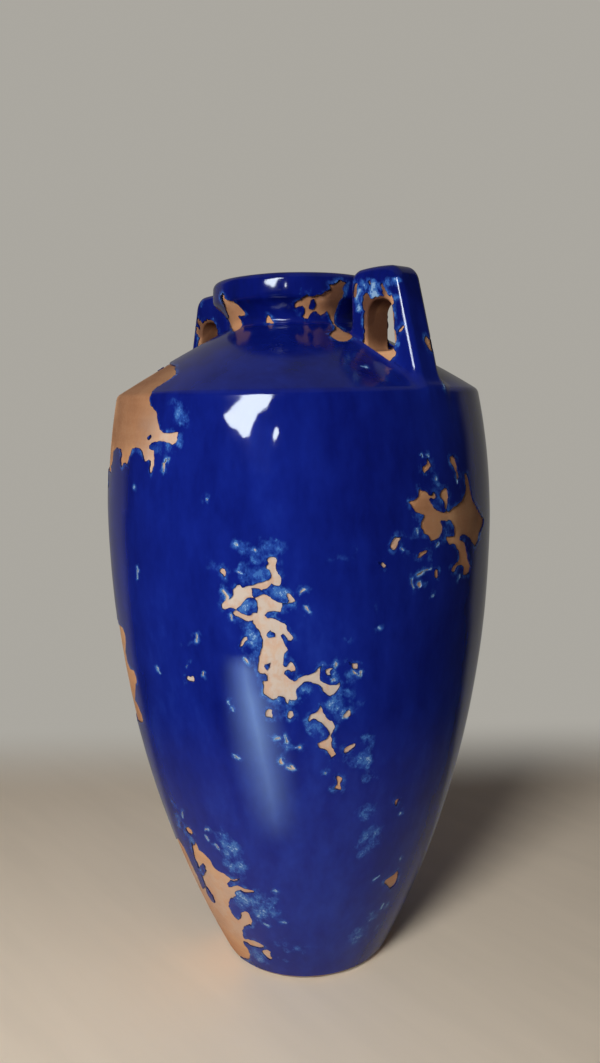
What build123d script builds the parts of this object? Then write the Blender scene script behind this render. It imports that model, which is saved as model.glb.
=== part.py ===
"""Two-handled jar: terracotta body under a thick blue glaze, built piece by piece as a potter joins it.

Millimetres, +Z up. The origin is the centre of the foot, on the surface that the jar stands on.
The two lug handles stand opposite each other along the X axis.
"""

import os
from math import atan2, cos, sqrt, tan

from build123d import *

os.makedirs("parts", exist_ok=True)

# Jar outline, measured over the glaze, from the foot up
foot_radius = 40.7
foot_edge_rounding = 4.5
belly_radius = 89.3
flank_rise = 212.7
shoulder_setback = 6.2
upper_rise = 59.7
shoulder_edge_rounding = 4.0
shoulder_rise = 29.6
shoulder_crown = 0.8
neck_radius = 29.8
neck_sunk_depth = 3.0
neck_root_rounding = 3.0
collar_rise = 20.1
lip_flare = 7.9
lip_rounding = 3.2

# Walls and inner hollow, measured in the clay
wall_thickness = 6.0
floor_thickness = 8.0
floor_corner_rounding = 9.0
shoulder_thickness = 6.5
ceiling_corner_rounding = 6.0
throat_wall = 4.6
throat_length = 9.0
throat_corner_rounding = 3.0

# Recess under the foot, which leaves a ring to stand on
recess_radius = 29.0
recess_depth = 1.6
recess_edge_rounding = 1.0

# Joints between the clay pieces
shoulder_joint_drop = 7.0
neck_joint_drop = 1.5

# Glaze coats
glaze_thickness = 0.6
lining_thickness = 0.6
lining_joint_drop = 2.0
bare_foot_height = 3.0

# Lug handles, measured over the glaze
handle_lip_gap = 4.3
handle_edge_margin = 1.5
handle_thickness = 14.7
handle_top_drop = 0.7
handle_top_crown = 0.9
handle_root_depth = 8.0
handle_inner_corner_rounding = 6.0
handle_outer_corner_rounding = 7.5
handle_edge_rounding = 3.4
slot_sill_rise = 15.6
slot_height = 20.8
slot_mouth_rounding = 1.2

# Widths along a handle, as shares of its width at the foot
handle_top_width_share = 0.672
slot_inner_bar_share = 0.25
slot_top_width_share = 0.333
slot_sill_width_share = 0.389

# Corner roundings of a slot, as shares of its width at that corner
slot_top_rounding_share = 0.41
slot_sill_rounding_share = 0.195

# One overrun for every cut that has to pass a face
cut_overrun = 5.0

# Heights and radii that follow from the sizes above
belly_height = flank_rise
shoulder_height = belly_height + upper_rise
neck_height = shoulder_height + shoulder_rise
mouth_height = neck_height + collar_rise
shoulder_radius = belly_radius - shoulder_setback
lip_radius = neck_radius + lip_flare
throat_radius = neck_radius - glaze_thickness - throat_wall
lip_height = mouth_height - lip_rounding
lip_crest_radius = lip_radius - lip_rounding
bell_radius = lip_crest_radius - lip_rounding + glaze_thickness
shoulder_joint_height = shoulder_height - shoulder_joint_drop
neck_joint_height = neck_height - neck_joint_drop
shoulder_slope = atan2(neck_height - shoulder_height, shoulder_radius - neck_radius)
ceiling_drop = (glaze_thickness + shoulder_thickness) / cos(shoulder_slope)
throat_base_height = shoulder_height - ceiling_drop + (shoulder_radius - throat_radius) * tan(shoulder_slope)
throat_top_height = throat_base_height + throat_length
lining_joint_height = throat_base_height - lining_joint_drop
handle_inner_reach = lip_radius + handle_lip_gap
handle_foot_reach = shoulder_radius - handle_edge_margin
handle_foot_width = handle_foot_reach - handle_inner_reach
handle_top_height = mouth_height - handle_top_drop
handle_top_reach = handle_inner_reach + handle_foot_width * handle_top_width_share
slot_inner_reach = handle_inner_reach + handle_foot_width * slot_inner_bar_share
slot_sill_height = shoulder_height + slot_sill_rise
slot_top_height = slot_sill_height + slot_height
slot_top_width = handle_foot_width * slot_top_width_share
slot_sill_width = handle_foot_width * slot_sill_width_share

# The slot's mouths are rounded no further than the outer bar's flat side allows
outer_lean = (handle_foot_reach - handle_top_reach) / (handle_top_height - shoulder_height)
outer_bar_reach = handle_foot_reach - (slot_top_height - shoulder_height) * outer_lean
outer_bar_width = outer_bar_reach - slot_inner_reach - slot_top_width
mouth_rounding = min(slot_mouth_rounding, (outer_bar_width - handle_edge_rounding) / 2)


def sagitta_arc_radius(depth: float, reach: float) -> float:
    """Radius of an arc that starts square to its reach and falls away by a depth over that reach."""
    return (depth**2 + reach**2) / (2 * depth)


flank_arc_radius = sagitta_arc_radius(belly_radius - foot_radius, belly_height)
upper_arc_radius = sagitta_arc_radius(belly_radius - shoulder_radius, shoulder_height - belly_height)


def wall_radius(height: float, inset: float) -> float:
    """Radius of the wall at a height, on a surface that lies inset inside the finished outline."""
    arc_radius = flank_arc_radius if height < belly_height else upper_arc_radius
    return belly_radius - arc_radius + sqrt((arc_radius - inset) ** 2 - (height - belly_height) ** 2)


def draw_wall(inset: float, low: float, high: float) -> None:
    """Draw the wall's two arcs, from a low height up past the belly to a high one."""
    for start, end in ((low, belly_height), (belly_height, high)):
        middle = (start + end) / 2
        ThreePointArc(*[(wall_radius(height, inset), height) for height in (start, middle, end)])


def draw_flare(low: tuple, high: tuple, inset: float) -> None:
    """Draw a double curve, upright at both ends, from a low narrow point to a high wide one.

    The curve lies inset nearer to the jar's axis than the two points that are given.
    """
    arc_radius = sagitta_arc_radius((high[0] - low[0]) / 2, (high[1] - low[1]) / 2)
    outer_centre = Vector(low[0] + arc_radius, low[1])
    inner_centre = Vector(high[0] - arc_radius, high[1])
    turn_point = outer_centre + (inner_centre - outer_centre) * (arc_radius + inset) / (2 * arc_radius)
    hollow_arc = TangentArc((low[0] - inset, low[1]), turn_point, tangent=(0, 1))
    TangentArc(turn_point, (high[0] - inset, high[1]), tangent=hollow_arc % 1)


def round_corner(section: BuildSketch, place: tuple, rounding: float) -> None:
    """Round the corner of a half section that lies nearest to a place."""
    fillet(section.vertices().sort_by_distance(place)[0], rounding)


def jar_fill(inset: float) -> Sketch:
    """Half section of the whole jar as if solid, its surface lying inset inside the finished outline."""
    edge_height = shoulder_height - inset
    edge = (wall_radius(edge_height, inset), edge_height)
    root = (neck_radius - inset, neck_height - inset / cos(shoulder_slope))
    crown = ((edge[0] + root[0]) / 2, (edge[1] + root[1]) / 2 + shoulder_crown)
    foot = (wall_radius(0, inset), 0)
    flare_base = (neck_radius, neck_height - neck_sunk_depth)
    lip = (lip_radius, lip_height)
    crest = (lip_crest_radius, mouth_height - inset)
    with BuildSketch() as section:
        with BuildLine():
            Line((0, 0), foot)
            draw_wall(inset, 0, edge_height)
            ThreePointArc(edge, crown, root)
            Polyline(root, (0, root[1]), (0, 0))
        make_face()
        with BuildLine():
            Line((0, flare_base[1]), (flare_base[0] - inset, flare_base[1]))
            draw_flare(flare_base, lip, inset)
            TangentArc((lip[0] - inset, lip[1]), crest, tangent=(0, 1))
            Polyline(crest, (0, crest[1]), (0, flare_base[1]))
        make_face()
        round_corner(section, foot, foot_edge_rounding)
        round_corner(section, edge, shoulder_edge_rounding - inset)
        round_corner(section, root, neck_root_rounding + inset)
    return section.sketch


def jar_hollow(coat: float) -> Sketch:
    """Half section of the space inside the clay, made narrower all round by a coat of glaze."""
    inset = glaze_thickness + wall_thickness + coat
    floor_height = floor_thickness + coat
    floor_corner = (wall_radius(floor_height, inset), floor_height)
    throat_base = (throat_radius - coat, throat_base_height)
    ceiling_start = (belly_radius, throat_base_height - (belly_radius - throat_base[0]) * tan(shoulder_slope))
    crest = (lip_crest_radius, mouth_height - glaze_thickness + coat)
    over_mouth = mouth_height + cut_overrun
    with BuildSketch() as section:
        with BuildLine():
            Line((0, floor_height), floor_corner)
            draw_wall(inset, floor_height, shoulder_height)
            Polyline(
                (wall_radius(shoulder_height, inset), shoulder_height),
                (wall_radius(shoulder_height, inset), throat_base_height),
                (0, throat_base_height),
                (0, floor_height),
            )
        make_face()
        with BuildLine():
            Polyline((0, 0), (belly_radius, 0), ceiling_start, throat_base, (0, throat_base[1]), close=True)
        make_face(mode=Mode.INTERSECT)
        with BuildLine():
            Line((throat_base[0], belly_height), (throat_base[0], throat_top_height))
            draw_flare((throat_radius, throat_top_height), (bell_radius, lip_height), coat)
            TangentArc((bell_radius - coat, lip_height), crest, tangent=(0, 1))
            Polyline(crest, (crest[0], over_mouth), (0, over_mouth), (0, belly_height))
            Line((0, belly_height), (throat_base[0], belly_height))
        make_face()
        round_corner(section, ceiling_start, ceiling_corner_rounding - coat)
        round_corner(section, floor_corner, floor_corner_rounding - coat)
        round_corner(section, throat_base, throat_corner_rounding + coat)
    return section.sketch


def ring_section(solid: Sketch, removed: Sketch, low: float, high: float) -> Sketch:
    """Half section of one ring of the jar: what a hollow leaves of a solid between two heights."""
    with BuildSketch() as section:
        add(solid)
        add(removed, mode=Mode.SUBTRACT)
        with Locations((0, low)):
            Rectangle(belly_radius, high - low, align=(Align.MIN, Align.MIN), mode=Mode.INTERSECT)
    return section.sketch


def slot_outline(margin: float) -> Sketch:
    """Outline of a handle's slot, seen along the tangent, grown all round by a margin."""
    with BuildSketch() as outline:
        with BuildLine():
            Polyline(
                (slot_inner_reach, slot_sill_height),
                (slot_inner_reach + slot_sill_width, slot_sill_height),
                (slot_inner_reach + slot_top_width, slot_top_height),
                (slot_inner_reach, slot_top_height),
                close=True,
            )
        make_face()
        fillet(outline.vertices().group_by(Axis.Y)[-1], slot_top_width * slot_top_rounding_share)
        fillet(outline.vertices().group_by(Axis.Y)[0], slot_sill_width * slot_sill_rounding_share)
        offset(amount=margin, mode=Mode.REPLACE)
    return outline.sketch


def lug_shape(inset: float) -> Part:
    """The right-hand lug before its slot is cut and it is fitted, its faces lying inset inside the glaze."""
    inner_top = (handle_inner_reach, handle_top_height)
    outer_top = (handle_top_reach, handle_top_height)
    root_height = shoulder_height - handle_root_depth
    top_middle = (handle_inner_reach + handle_top_reach) / 2
    with BuildPart() as lug:
        with BuildSketch(Plane.XZ) as outline:
            with BuildLine():
                ThreePointArc(inner_top, (top_middle, handle_top_height + handle_top_crown), outer_top)
                Polyline(
                    outer_top,
                    (handle_foot_reach, shoulder_height),
                    (handle_foot_reach, root_height),
                    (handle_inner_reach, root_height),
                    inner_top,
                )
            make_face()
            round_corner(outline, inner_top, handle_inner_corner_rounding)
            round_corner(outline, outer_top, handle_outer_corner_rounding)
            offset(amount=-inset, mode=Mode.REPLACE)
        extrude(amount=handle_thickness / 2 - inset, both=True)
        fillet(lug.faces().filter_by(Axis.Y).edges(), handle_edge_rounding - inset)
    return lug.part


# Half sections that the pieces share
glazed_outline = jar_fill(0)
clay_outline = jar_fill(glaze_thickness)
clay_hollow = jar_hollow(0)
glazed_throat = jar_hollow(glaze_thickness)
lined_hollow = jar_hollow(lining_thickness)

with BuildPart() as jar_core:
    with BuildSketch(Plane.XZ):
        add(clay_outline)
    revolve(axis=Axis.Z)

# Base slab: the floor of the jar, hollowed underneath to stand on a ring
with BuildPart() as base_slab:
    with BuildSketch(Plane.XZ):
        add(ring_section(clay_outline, clay_hollow, 0, floor_thickness))
    revolve(axis=Axis.Z)
    with BuildSketch(Plane.XY):
        Circle(recess_radius)
    extrude(amount=recess_depth, mode=Mode.SUBTRACT)
    recess_edge = base_slab.edges().filter_by(GeomType.CIRCLE).group_by(Axis.Z)[0].sort_by(SortBy.RADIUS)[0]
    fillet(recess_edge, recess_edge_rounding)
base_slab.part.label = "base_slab"
export_step(base_slab.part, "parts/base_slab.step")

# Body wall: the thrown wall from the floor up past the belly
with BuildPart() as body_wall:
    with BuildSketch(Plane.XZ):
        add(ring_section(clay_outline, clay_hollow, floor_thickness, shoulder_joint_height))
    revolve(axis=Axis.Z)
body_wall.part.label = "body_wall"
export_step(body_wall.part, "parts/body_wall.step")

# Shoulder: the sloping top with its crisp edge
with BuildPart() as shoulder:
    with BuildSketch(Plane.XZ):
        add(ring_section(clay_outline, clay_hollow, shoulder_joint_height, neck_joint_height))
    revolve(axis=Axis.Z)
shoulder.part.label = "shoulder"
export_step(shoulder.part, "parts/shoulder.step")

# Neck collar: short, hollow-curved, with a full round lip
with BuildPart() as neck_collar:
    with BuildSketch(Plane.XZ):
        add(ring_section(clay_outline, clay_hollow, neck_joint_height, mouth_height))
    revolve(axis=Axis.Z)
neck_collar.part.label = "neck_collar"
export_step(neck_collar.part, "parts/neck_collar.step")

# Lug handles: slabs pierced by a slot with softened mouths, luted to the shoulder
with BuildPart() as clay_lug:
    add(lug_shape(glaze_thickness))
    with BuildSketch(Plane.XZ):
        add(slot_outline(0))
    extrude(amount=handle_thickness, both=True, mode=Mode.SUBTRACT)
    slot_mouths = [face.inner_wires() for face in clay_lug.faces().filter_by(Axis.Y)]
    fillet([edge for wires in slot_mouths for edge in wires.edges()], mouth_rounding)

# Their glaze, which ends where the slot's mouths begin to round
with BuildPart() as lug_coat:
    add(lug_shape(0))
    with BuildSketch(Plane.XZ):
        add(slot_outline(mouth_rounding))
    extrude(amount=handle_thickness, both=True, mode=Mode.SUBTRACT)
    add(lug_shape(glaze_thickness), mode=Mode.SUBTRACT)

for side_name, turn in (("right", 0), ("left", 180)):
    with BuildPart() as handle:
        add(clay_lug.part, rotation=(0, 0, turn))
        add(jar_core.part, mode=Mode.SUBTRACT)
    handle.part.label = f"handle_{side_name}"
    export_step(handle.part, f"parts/handle_{side_name}.step")
    with BuildPart() as handle_glaze:
        add(lug_coat.part, rotation=(0, 0, turn))
        add(jar_core.part, mode=Mode.SUBTRACT)
    handle_glaze.part.label = f"glaze_handle_{side_name}"
    export_step(handle_glaze.part, f"parts/glaze_handle_{side_name}.step")

# Outer glaze of the body, which stops short of the table and leaves a bare foot
with BuildPart() as glaze_body:
    with BuildSketch(Plane.XZ):
        add(ring_section(glazed_outline, clay_outline, bare_foot_height, shoulder_joint_height))
    revolve(axis=Axis.Z)
glaze_body.part.label = "glaze_body"
export_step(glaze_body.part, "parts/glaze_body.step")

# Glaze of the shoulder, which flows up to both handles
with BuildPart() as glaze_shoulder:
    with BuildSketch(Plane.XZ):
        add(ring_section(glazed_outline, clay_outline, shoulder_joint_height, neck_joint_height))
    revolve(axis=Axis.Z)
    for turn in (0, 180):
        add(lug_shape(0), rotation=(0, 0, turn), mode=Mode.SUBTRACT)
glaze_shoulder.part.label = "glaze_shoulder"
export_step(glaze_shoulder.part, "parts/glaze_shoulder.step")

# Glaze of the neck, carried over the lip and down the throat
with BuildPart() as glaze_neck:
    with BuildSketch(Plane.XZ):
        add(glazed_outline)
        add(glazed_throat, mode=Mode.SUBTRACT)
        add(ring_section(clay_outline, clay_hollow, 0, mouth_height), mode=Mode.SUBTRACT)
        with BuildLine():
            Polyline(
                (0, lining_joint_height),
                (neck_radius, lining_joint_height),
                (neck_radius, neck_joint_height),
                (belly_radius, neck_joint_height),
                (belly_radius, mouth_height),
                (0, mouth_height),
                close=True,
            )
        make_face(mode=Mode.INTERSECT)
    revolve(axis=Axis.Z)
glaze_neck.part.label = "glaze_neck"
export_step(glaze_neck.part, "parts/glaze_neck.step")

# Inner glaze: the coat that makes the porous clay hold water
with BuildPart() as inner_glaze:
    with BuildSketch(Plane.XZ):
        add(ring_section(clay_hollow, lined_hollow, floor_thickness, lining_joint_height))
    revolve(axis=Axis.Z)
inner_glaze.part.label = "inner_glaze"
export_step(inner_glaze.part, "parts/inner_glaze.step")
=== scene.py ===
"""Scene of the two-handled jar: a cobalt glaze, chipped in patches, over a terracotta body.

Sizes are in millimetres unless a name says otherwise, and places traced from the photograph are in its
own 600 x 1063 pixels. A traced place beyond the jar's outline stands for one that far round the back.
"""

import logging
import math
import random
from collections.abc import Callable, Iterator
from contextlib import contextmanager
from dataclasses import dataclass, field
from enum import Enum
from functools import cached_property

import bmesh
import bpy
import numpy as np
from mathutils import Matrix, Vector


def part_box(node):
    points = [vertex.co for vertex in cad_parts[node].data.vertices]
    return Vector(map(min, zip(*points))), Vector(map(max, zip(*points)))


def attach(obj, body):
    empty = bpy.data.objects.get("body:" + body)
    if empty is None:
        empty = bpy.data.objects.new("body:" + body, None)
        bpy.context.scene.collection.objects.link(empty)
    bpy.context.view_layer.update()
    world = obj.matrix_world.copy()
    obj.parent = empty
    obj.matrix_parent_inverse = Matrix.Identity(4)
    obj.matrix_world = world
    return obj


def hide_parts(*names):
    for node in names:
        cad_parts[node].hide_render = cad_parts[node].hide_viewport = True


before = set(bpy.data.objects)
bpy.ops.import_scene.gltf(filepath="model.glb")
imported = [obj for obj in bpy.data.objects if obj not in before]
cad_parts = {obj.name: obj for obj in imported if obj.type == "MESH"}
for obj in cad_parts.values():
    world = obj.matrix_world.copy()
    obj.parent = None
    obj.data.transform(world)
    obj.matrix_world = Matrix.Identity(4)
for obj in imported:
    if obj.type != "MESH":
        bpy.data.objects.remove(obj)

LOG = logging.getLogger("jar")
MM = 0.001
STRAIGHT_RADIUS = 1.0e5
FAR_GAP = 6.0
WAVE_CREST = 1.6
# How far round the back a pixel lands for each millimetre that it misses the jar by, past a little slack
MISS_TURN = float(np.radians(3.0))
MISS_SLACK = 0.1

# Bare clay where the glaze has come away, traced round its edge
CENTRE_PATCH = [
    (254, 596.5), (258, 596.5), (264, 594.5), (268, 595), (273, 599.5), (279, 603), (284, 604),
    (288, 602.5), (290, 600.5), (287, 597.5), (286.5, 594), (290, 593.5), (292, 596), (294, 597.5),
    (296, 601), (293, 602.5), (289, 602.5), (285, 605), (281, 608), (281, 612.5), (276, 612),
    (266.5, 612.5), (264, 616.5), (266, 618), (276, 619), (279.5, 620), (282, 622.5), (286, 625),
    (287, 629), (291, 635), (294, 638.5), (291, 641), (288, 640.5), (286, 636.5), (284, 634.5), (281, 635),
    (281.5, 638), (284.5, 644), (287, 650.5), (284, 655), (282.5, 660), (283, 666), (286, 669), (289, 664),
    (292, 661), (294, 665), (295.5, 670), (291.5, 672.5), (288, 670), (285, 671.5), (284, 675), (289, 679),
    (293, 681), (297, 680), (300, 677.5), (305, 676), (310, 675.5), (315, 672), (318, 669.5), (319.5, 666),
    (322, 665.5), (320, 669.5), (319, 676), (320, 680.5), (323, 683.5), (330, 685), (336, 684.5),
    (340, 682.5), (341, 686), (339, 689), (335, 693.5), (330, 696.5), (326, 695), (323, 691), (320, 686.5),
    (316, 683.5), (310, 681.5), (304, 683), (300, 686), (296, 690), (296.5, 695), (296.5, 700.5),
    (293, 701.5), (289.5, 700), (288, 704), (284.5, 699), (281, 696.5), (277.5, 697), (275, 701),
    (270, 699), (264.5, 695.5), (264, 691), (265, 687.5), (261.5, 682.5), (263, 681), (268, 682),
    (266.5, 677.5), (268, 674), (264, 674), (260, 673.5), (258, 669), (258.5, 661), (260, 652),
    (262.5, 647), (263, 640), (260.5, 634), (257.5, 629), (253, 622), (256.5, 615), (258, 608.5),
    (257.5, 603),
]
CENTRE_TIP = [
    (265.5, 559.5), (270, 557.5), (275.5, 557.5), (278, 561), (276, 566), (276, 570), (281, 577),
    (281, 586.5), (275, 585.5), (271, 584.5), (268, 588.5), (261.5, 590), (254, 587.5), (253.5, 585),
    (258, 583.5), (262.5, 581.5), (268, 581), (271.5, 577), (270, 570), (266, 568.5), (268, 563),
]
CENTRE_LOBE = [
    (252.5, 597), (251.5, 586.5), (246, 586.5), (243, 588), (239, 584), (235, 586.5), (232, 591),
    (233.5, 595), (231.5, 599), (225, 601), (221, 605), (221.5, 609), (226, 609), (231, 607.5), (237, 609),
    (240, 605.5), (245, 600), (248, 598),
]
CENTRE_HOOK = [
    (231, 612.5), (236, 610), (240, 612.5), (246, 616), (251, 615), (254, 612), (255.5, 614), (253, 620),
    (248, 621.5), (243, 620), (238, 617.5), (233, 614),
]
CENTRE_TAIL = [
    (320, 705), (322, 709), (324, 714), (328, 719), (333, 722.5), (335.5, 726), (334, 730), (331.5, 734),
    (331.5, 742), (333, 749), (336, 755), (332.5, 757), (331, 759.5), (330.5, 755), (327, 751), (322, 749),
    (319, 747.5), (318, 744), (322, 741.5), (327, 739.5), (329, 735), (328.5, 731), (324, 725), (320, 721),
    (315, 719.5), (311, 720.5), (309, 723), (307.5, 719.5), (311, 715), (317, 711.5),
]
RIGHT_PATCH = [
    (419, 488.5), (421, 490.5), (427, 491.5), (430, 494), (429.5, 499), (433, 505), (438, 510.5),
    (443, 512.5), (447, 512.5), (451, 509.5), (457, 505.5), (461, 502.5), (463, 497.5), (465.5, 492),
    (465.5, 482), (464, 475), (467, 473), (470, 482), (472, 494), (475, 503), (480, 512), (484, 520),
    (483, 527), (480, 533), (479, 541), (475, 547), (472, 542), (469, 537), (465, 534.5), (461, 536),
    (460, 541), (463, 541), (465.5, 543), (467.5, 552), (468.5, 558), (471, 566), (470.5, 571), (466, 576),
    (463.5, 574.5), (464, 568), (461, 564.5), (458, 566.5), (456, 571), (453, 573), (451.5, 571),
    (453, 566.5), (458, 562), (460, 558.5), (459.5, 553), (456.5, 547), (454, 542.5), (450, 545.5),
    (447, 541), (446, 537.5), (451, 537), (455, 536.5), (454.5, 529), (452.5, 523), (450, 519.5),
    (446, 521.5), (441.5, 519), (443, 526), (442.5, 533), (440, 538), (434, 540.5), (431.5, 542),
    (429, 537), (424, 533), (421.5, 528), (421.5, 522.5), (424, 517.5), (425, 513.5), (420, 514),
    (415, 511.5), (411, 506), (408.5, 501.5), (413, 500.5), (417, 498.5), (418.5, 494),
]
RIGHT_DROP = [
    (442, 490), (445, 488), (448, 489), (449, 496), (448.5, 503), (447, 510.5), (445, 508), (444.5, 502),
    (441, 498.5), (439.5, 495.5),
]
RIGHT_STRAND = [
    (450, 457), (453, 455), (456, 458.5), (457, 463), (458, 470), (460, 476), (459, 479.5), (457, 478),
    (455.5, 471), (453, 465), (450, 461.5),
]
SHOULDER_PATCH = [
    (176, 374), (168, 380.5), (160, 385), (154.5, 388.5), (151, 394), (149, 400), (150, 405), (153, 408),
    (157, 413), (157.5, 421), (160, 430), (163, 433), (170, 433), (178, 431.5), (177, 437), (176, 443),
    (172, 446), (169, 443), (167, 441.5), (160, 440.5), (152, 442.5), (147, 446.5), (150, 449),
    (153.5, 450), (154, 457), (153.5, 464), (152, 471), (150, 474), (149, 470), (150.5, 461), (148, 460),
    (144, 462), (142.5, 455), (140, 449.5), (136, 447), (132, 449), (130, 454), (128, 461), (127, 465),
    (124, 462), (121, 467.5), (119.5, 461), (121, 455), (120, 449.5), (116, 447.5), (113, 452), (112, 462),
    (109.5, 471), (101, 466), (95, 445), (93, 425), (96, 405), (104, 392), (117, 378), (130, 368),
    (145, 362), (160, 358), (171, 360), (176, 366),
]
FOOT_PATCH = [
    (191, 840), (194, 846), (195.5, 842), (199, 850), (205, 855), (209, 859), (212, 865), (216, 870),
    (222, 873), (228, 876.5), (231, 879.5), (240, 879), (239, 880.5), (233, 882), (229, 881), (227, 884),
    (229, 888), (233, 886), (238, 886), (245, 889), (250, 890), (255, 891.5), (250, 893.5), (246, 893.5),
    (241, 891), (236, 891), (234.5, 893), (236, 896), (232, 898.5), (229, 901), (228.5, 906), (231, 912),
    (234, 917), (239, 920.5), (241, 918), (241, 914), (244, 911.5), (248, 913), (250, 917), (252, 921),
    (251.5, 926), (249, 925), (245, 926), (242.5, 930), (243, 936), (244, 939), (248, 939.5), (254, 941),
    (260, 944), (265, 947), (263, 948.5), (257, 948), (250, 946), (246, 943), (243, 942), (245, 946),
    (248, 950), (250, 955), (249, 959.5), (243, 959), (236, 957), (226, 950), (214, 936), (203, 921),
    (195, 905), (187, 888), (179, 868), (174, 850), (178, 838), (184, 848), (190, 861), (197, 876),
    (203, 890), (205, 886), (200, 872), (194, 858),
]
EDGE_PATCH = [
    (119, 625), (122, 627), (124.5, 633), (125.5, 642), (125.5, 652), (127, 661), (130, 669), (134, 671),
    (136.5, 680), (135, 690), (135, 700), (138, 706), (142, 716), (143, 723), (136, 721), (127, 709),
    (121, 690), (118, 676), (112, 655), (108, 640), (112, 628),
]
NECK_PATCH = [
    (294, 306.5), (295, 303), (299, 300.5), (303, 297), (307, 295), (313, 297), (320, 295), (327, 291),
    (330, 287.5), (329, 284.5), (333, 285), (336, 282.5), (340, 280.5), (347, 282), (356, 286), (363, 296),
    (366, 310), (364, 324), (357, 331), (353, 334.5), (350, 339), (344, 341.5), (338, 341), (332, 337.5),
    (329, 334.5), (331, 331), (335, 329.5), (334, 325), (331, 320), (329, 315), (327, 312), (322, 315),
    (318, 313.5), (316, 311), (314, 311.5), (311, 313.5), (308, 317.5), (304, 318.5), (302, 316.5),
    (304.5, 313), (305, 309), (303, 306.5), (299, 306.5), (296, 308),
]
FAR_NECK_PATCH = [
    (222.7, 293.7), (226, 299.7), (233, 301), (239, 306), (245, 314), (244, 316), (237, 316),
    (240.7, 319.7), (239, 329), (235, 331.7), (232, 329), (229, 323.7), (228, 317), (226, 311),
    (222.7, 303.7), (220, 295.7),
]
SMALL_PATCHES = [
    [(347, 661), (352, 663.5), (358.5, 664), (357, 668), (354, 670), (351, 666)],
    [(325, 670), (329, 668.5), (333, 668), (331, 670.5), (329.5, 673), (331.5, 677.5), (328.5, 676),
     (326, 673.5)],
    [(344, 714), (346, 711.5), (350, 709.5), (351.5, 713), (349.5, 717), (346, 716.5)],
    [(266, 711), (269, 708.5), (272, 709), (271, 713), (274, 718.5), (270, 718.5), (265, 715.5)],
    [(287.5, 714), (290, 710), (292, 711.5), (294, 716), (291, 718.5), (287.5, 717.5)],
    [(219.5, 569.5), (222.5, 567), (225.5, 570), (226, 574), (224.5, 577), (221.5, 574)],
    [(245, 635.5), (248.5, 639), (244.5, 643), (241.5, 648), (238.5, 647.5), (241, 641)],
    [(333.5, 789), (337, 785), (338, 781), (335.5, 777), (339, 776), (342, 779.5), (340.5, 785),
     (341, 790)],
    [(354.5, 743), (355.5, 745.5), (351, 750.5), (346, 753), (342.5, 752.5), (345, 748.5), (350, 745)],
    [(185.5, 677.5), (188, 676), (191, 678), (192.5, 674.5), (194.5, 679), (193.5, 682), (190.5, 681.5),
     (187, 680)],
    [(378.5, 562), (382, 562.5), (386, 565.5), (387, 568.5), (383, 568), (381, 565)],
    [(432, 493), (435, 492.5), (437, 496.5), (434.5, 499.5), (431.5, 498)],
    [(427, 458.5), (430, 461), (431.5, 466.5), (428, 470.5), (425, 473.5), (422, 471), (422, 467.5),
     (427, 464)],
    [(395, 536.5), (398, 538), (402.5, 536), (400, 540), (397.5, 545), (395, 550), (391.5, 549.5),
     (390.5, 546)],
    [(426, 550), (428.5, 550.5), (424, 555), (420, 558), (417, 557), (419, 553)],
    [(185, 829), (188, 827), (191, 829.5), (193, 833), (190.5, 835), (187, 832.5)],
    [(261.5, 951), (267, 950), (271, 952), (269.5, 955), (272.5, 958), (270, 960.5), (266, 957.5),
     (263, 955)],
    [(384, 883), (386, 880), (390, 877.5), (394, 875), (397, 871), (399, 873), (398, 878), (396, 884),
     (391, 889)],
    [(395, 803), (396, 800), (398, 798.5), (400, 799.5), (398.5, 802), (397.5, 806), (395, 805.5)],
    [(266, 318), (267.5, 315), (270, 317), (271, 321), (274, 322.5), (270, 324), (267, 322.5)],
]

# Glaze still holding inside the bare patches
GLAZE_ISLANDS = [
    [(265.5, 636), (267, 633), (271, 630.5), (275, 634), (275, 637), (270, 638.5)],
    [(273, 660), (270, 664), (268.5, 669), (265.5, 672.5), (265, 668), (263.5, 664), (268, 664.5)],
    [(198.5, 872), (200, 866), (202, 863.5), (205, 868), (205.5, 873), (203, 876.5)],
    [(205, 886), (208, 890), (213, 898), (214.5, 903), (212, 902), (207, 894)],
    [(146, 439), (149, 435), (152, 433.5), (150.5, 437), (148, 441)],
    [(308.5, 309), (310, 301), (314, 300), (316, 304), (314, 310)],
]

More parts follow.
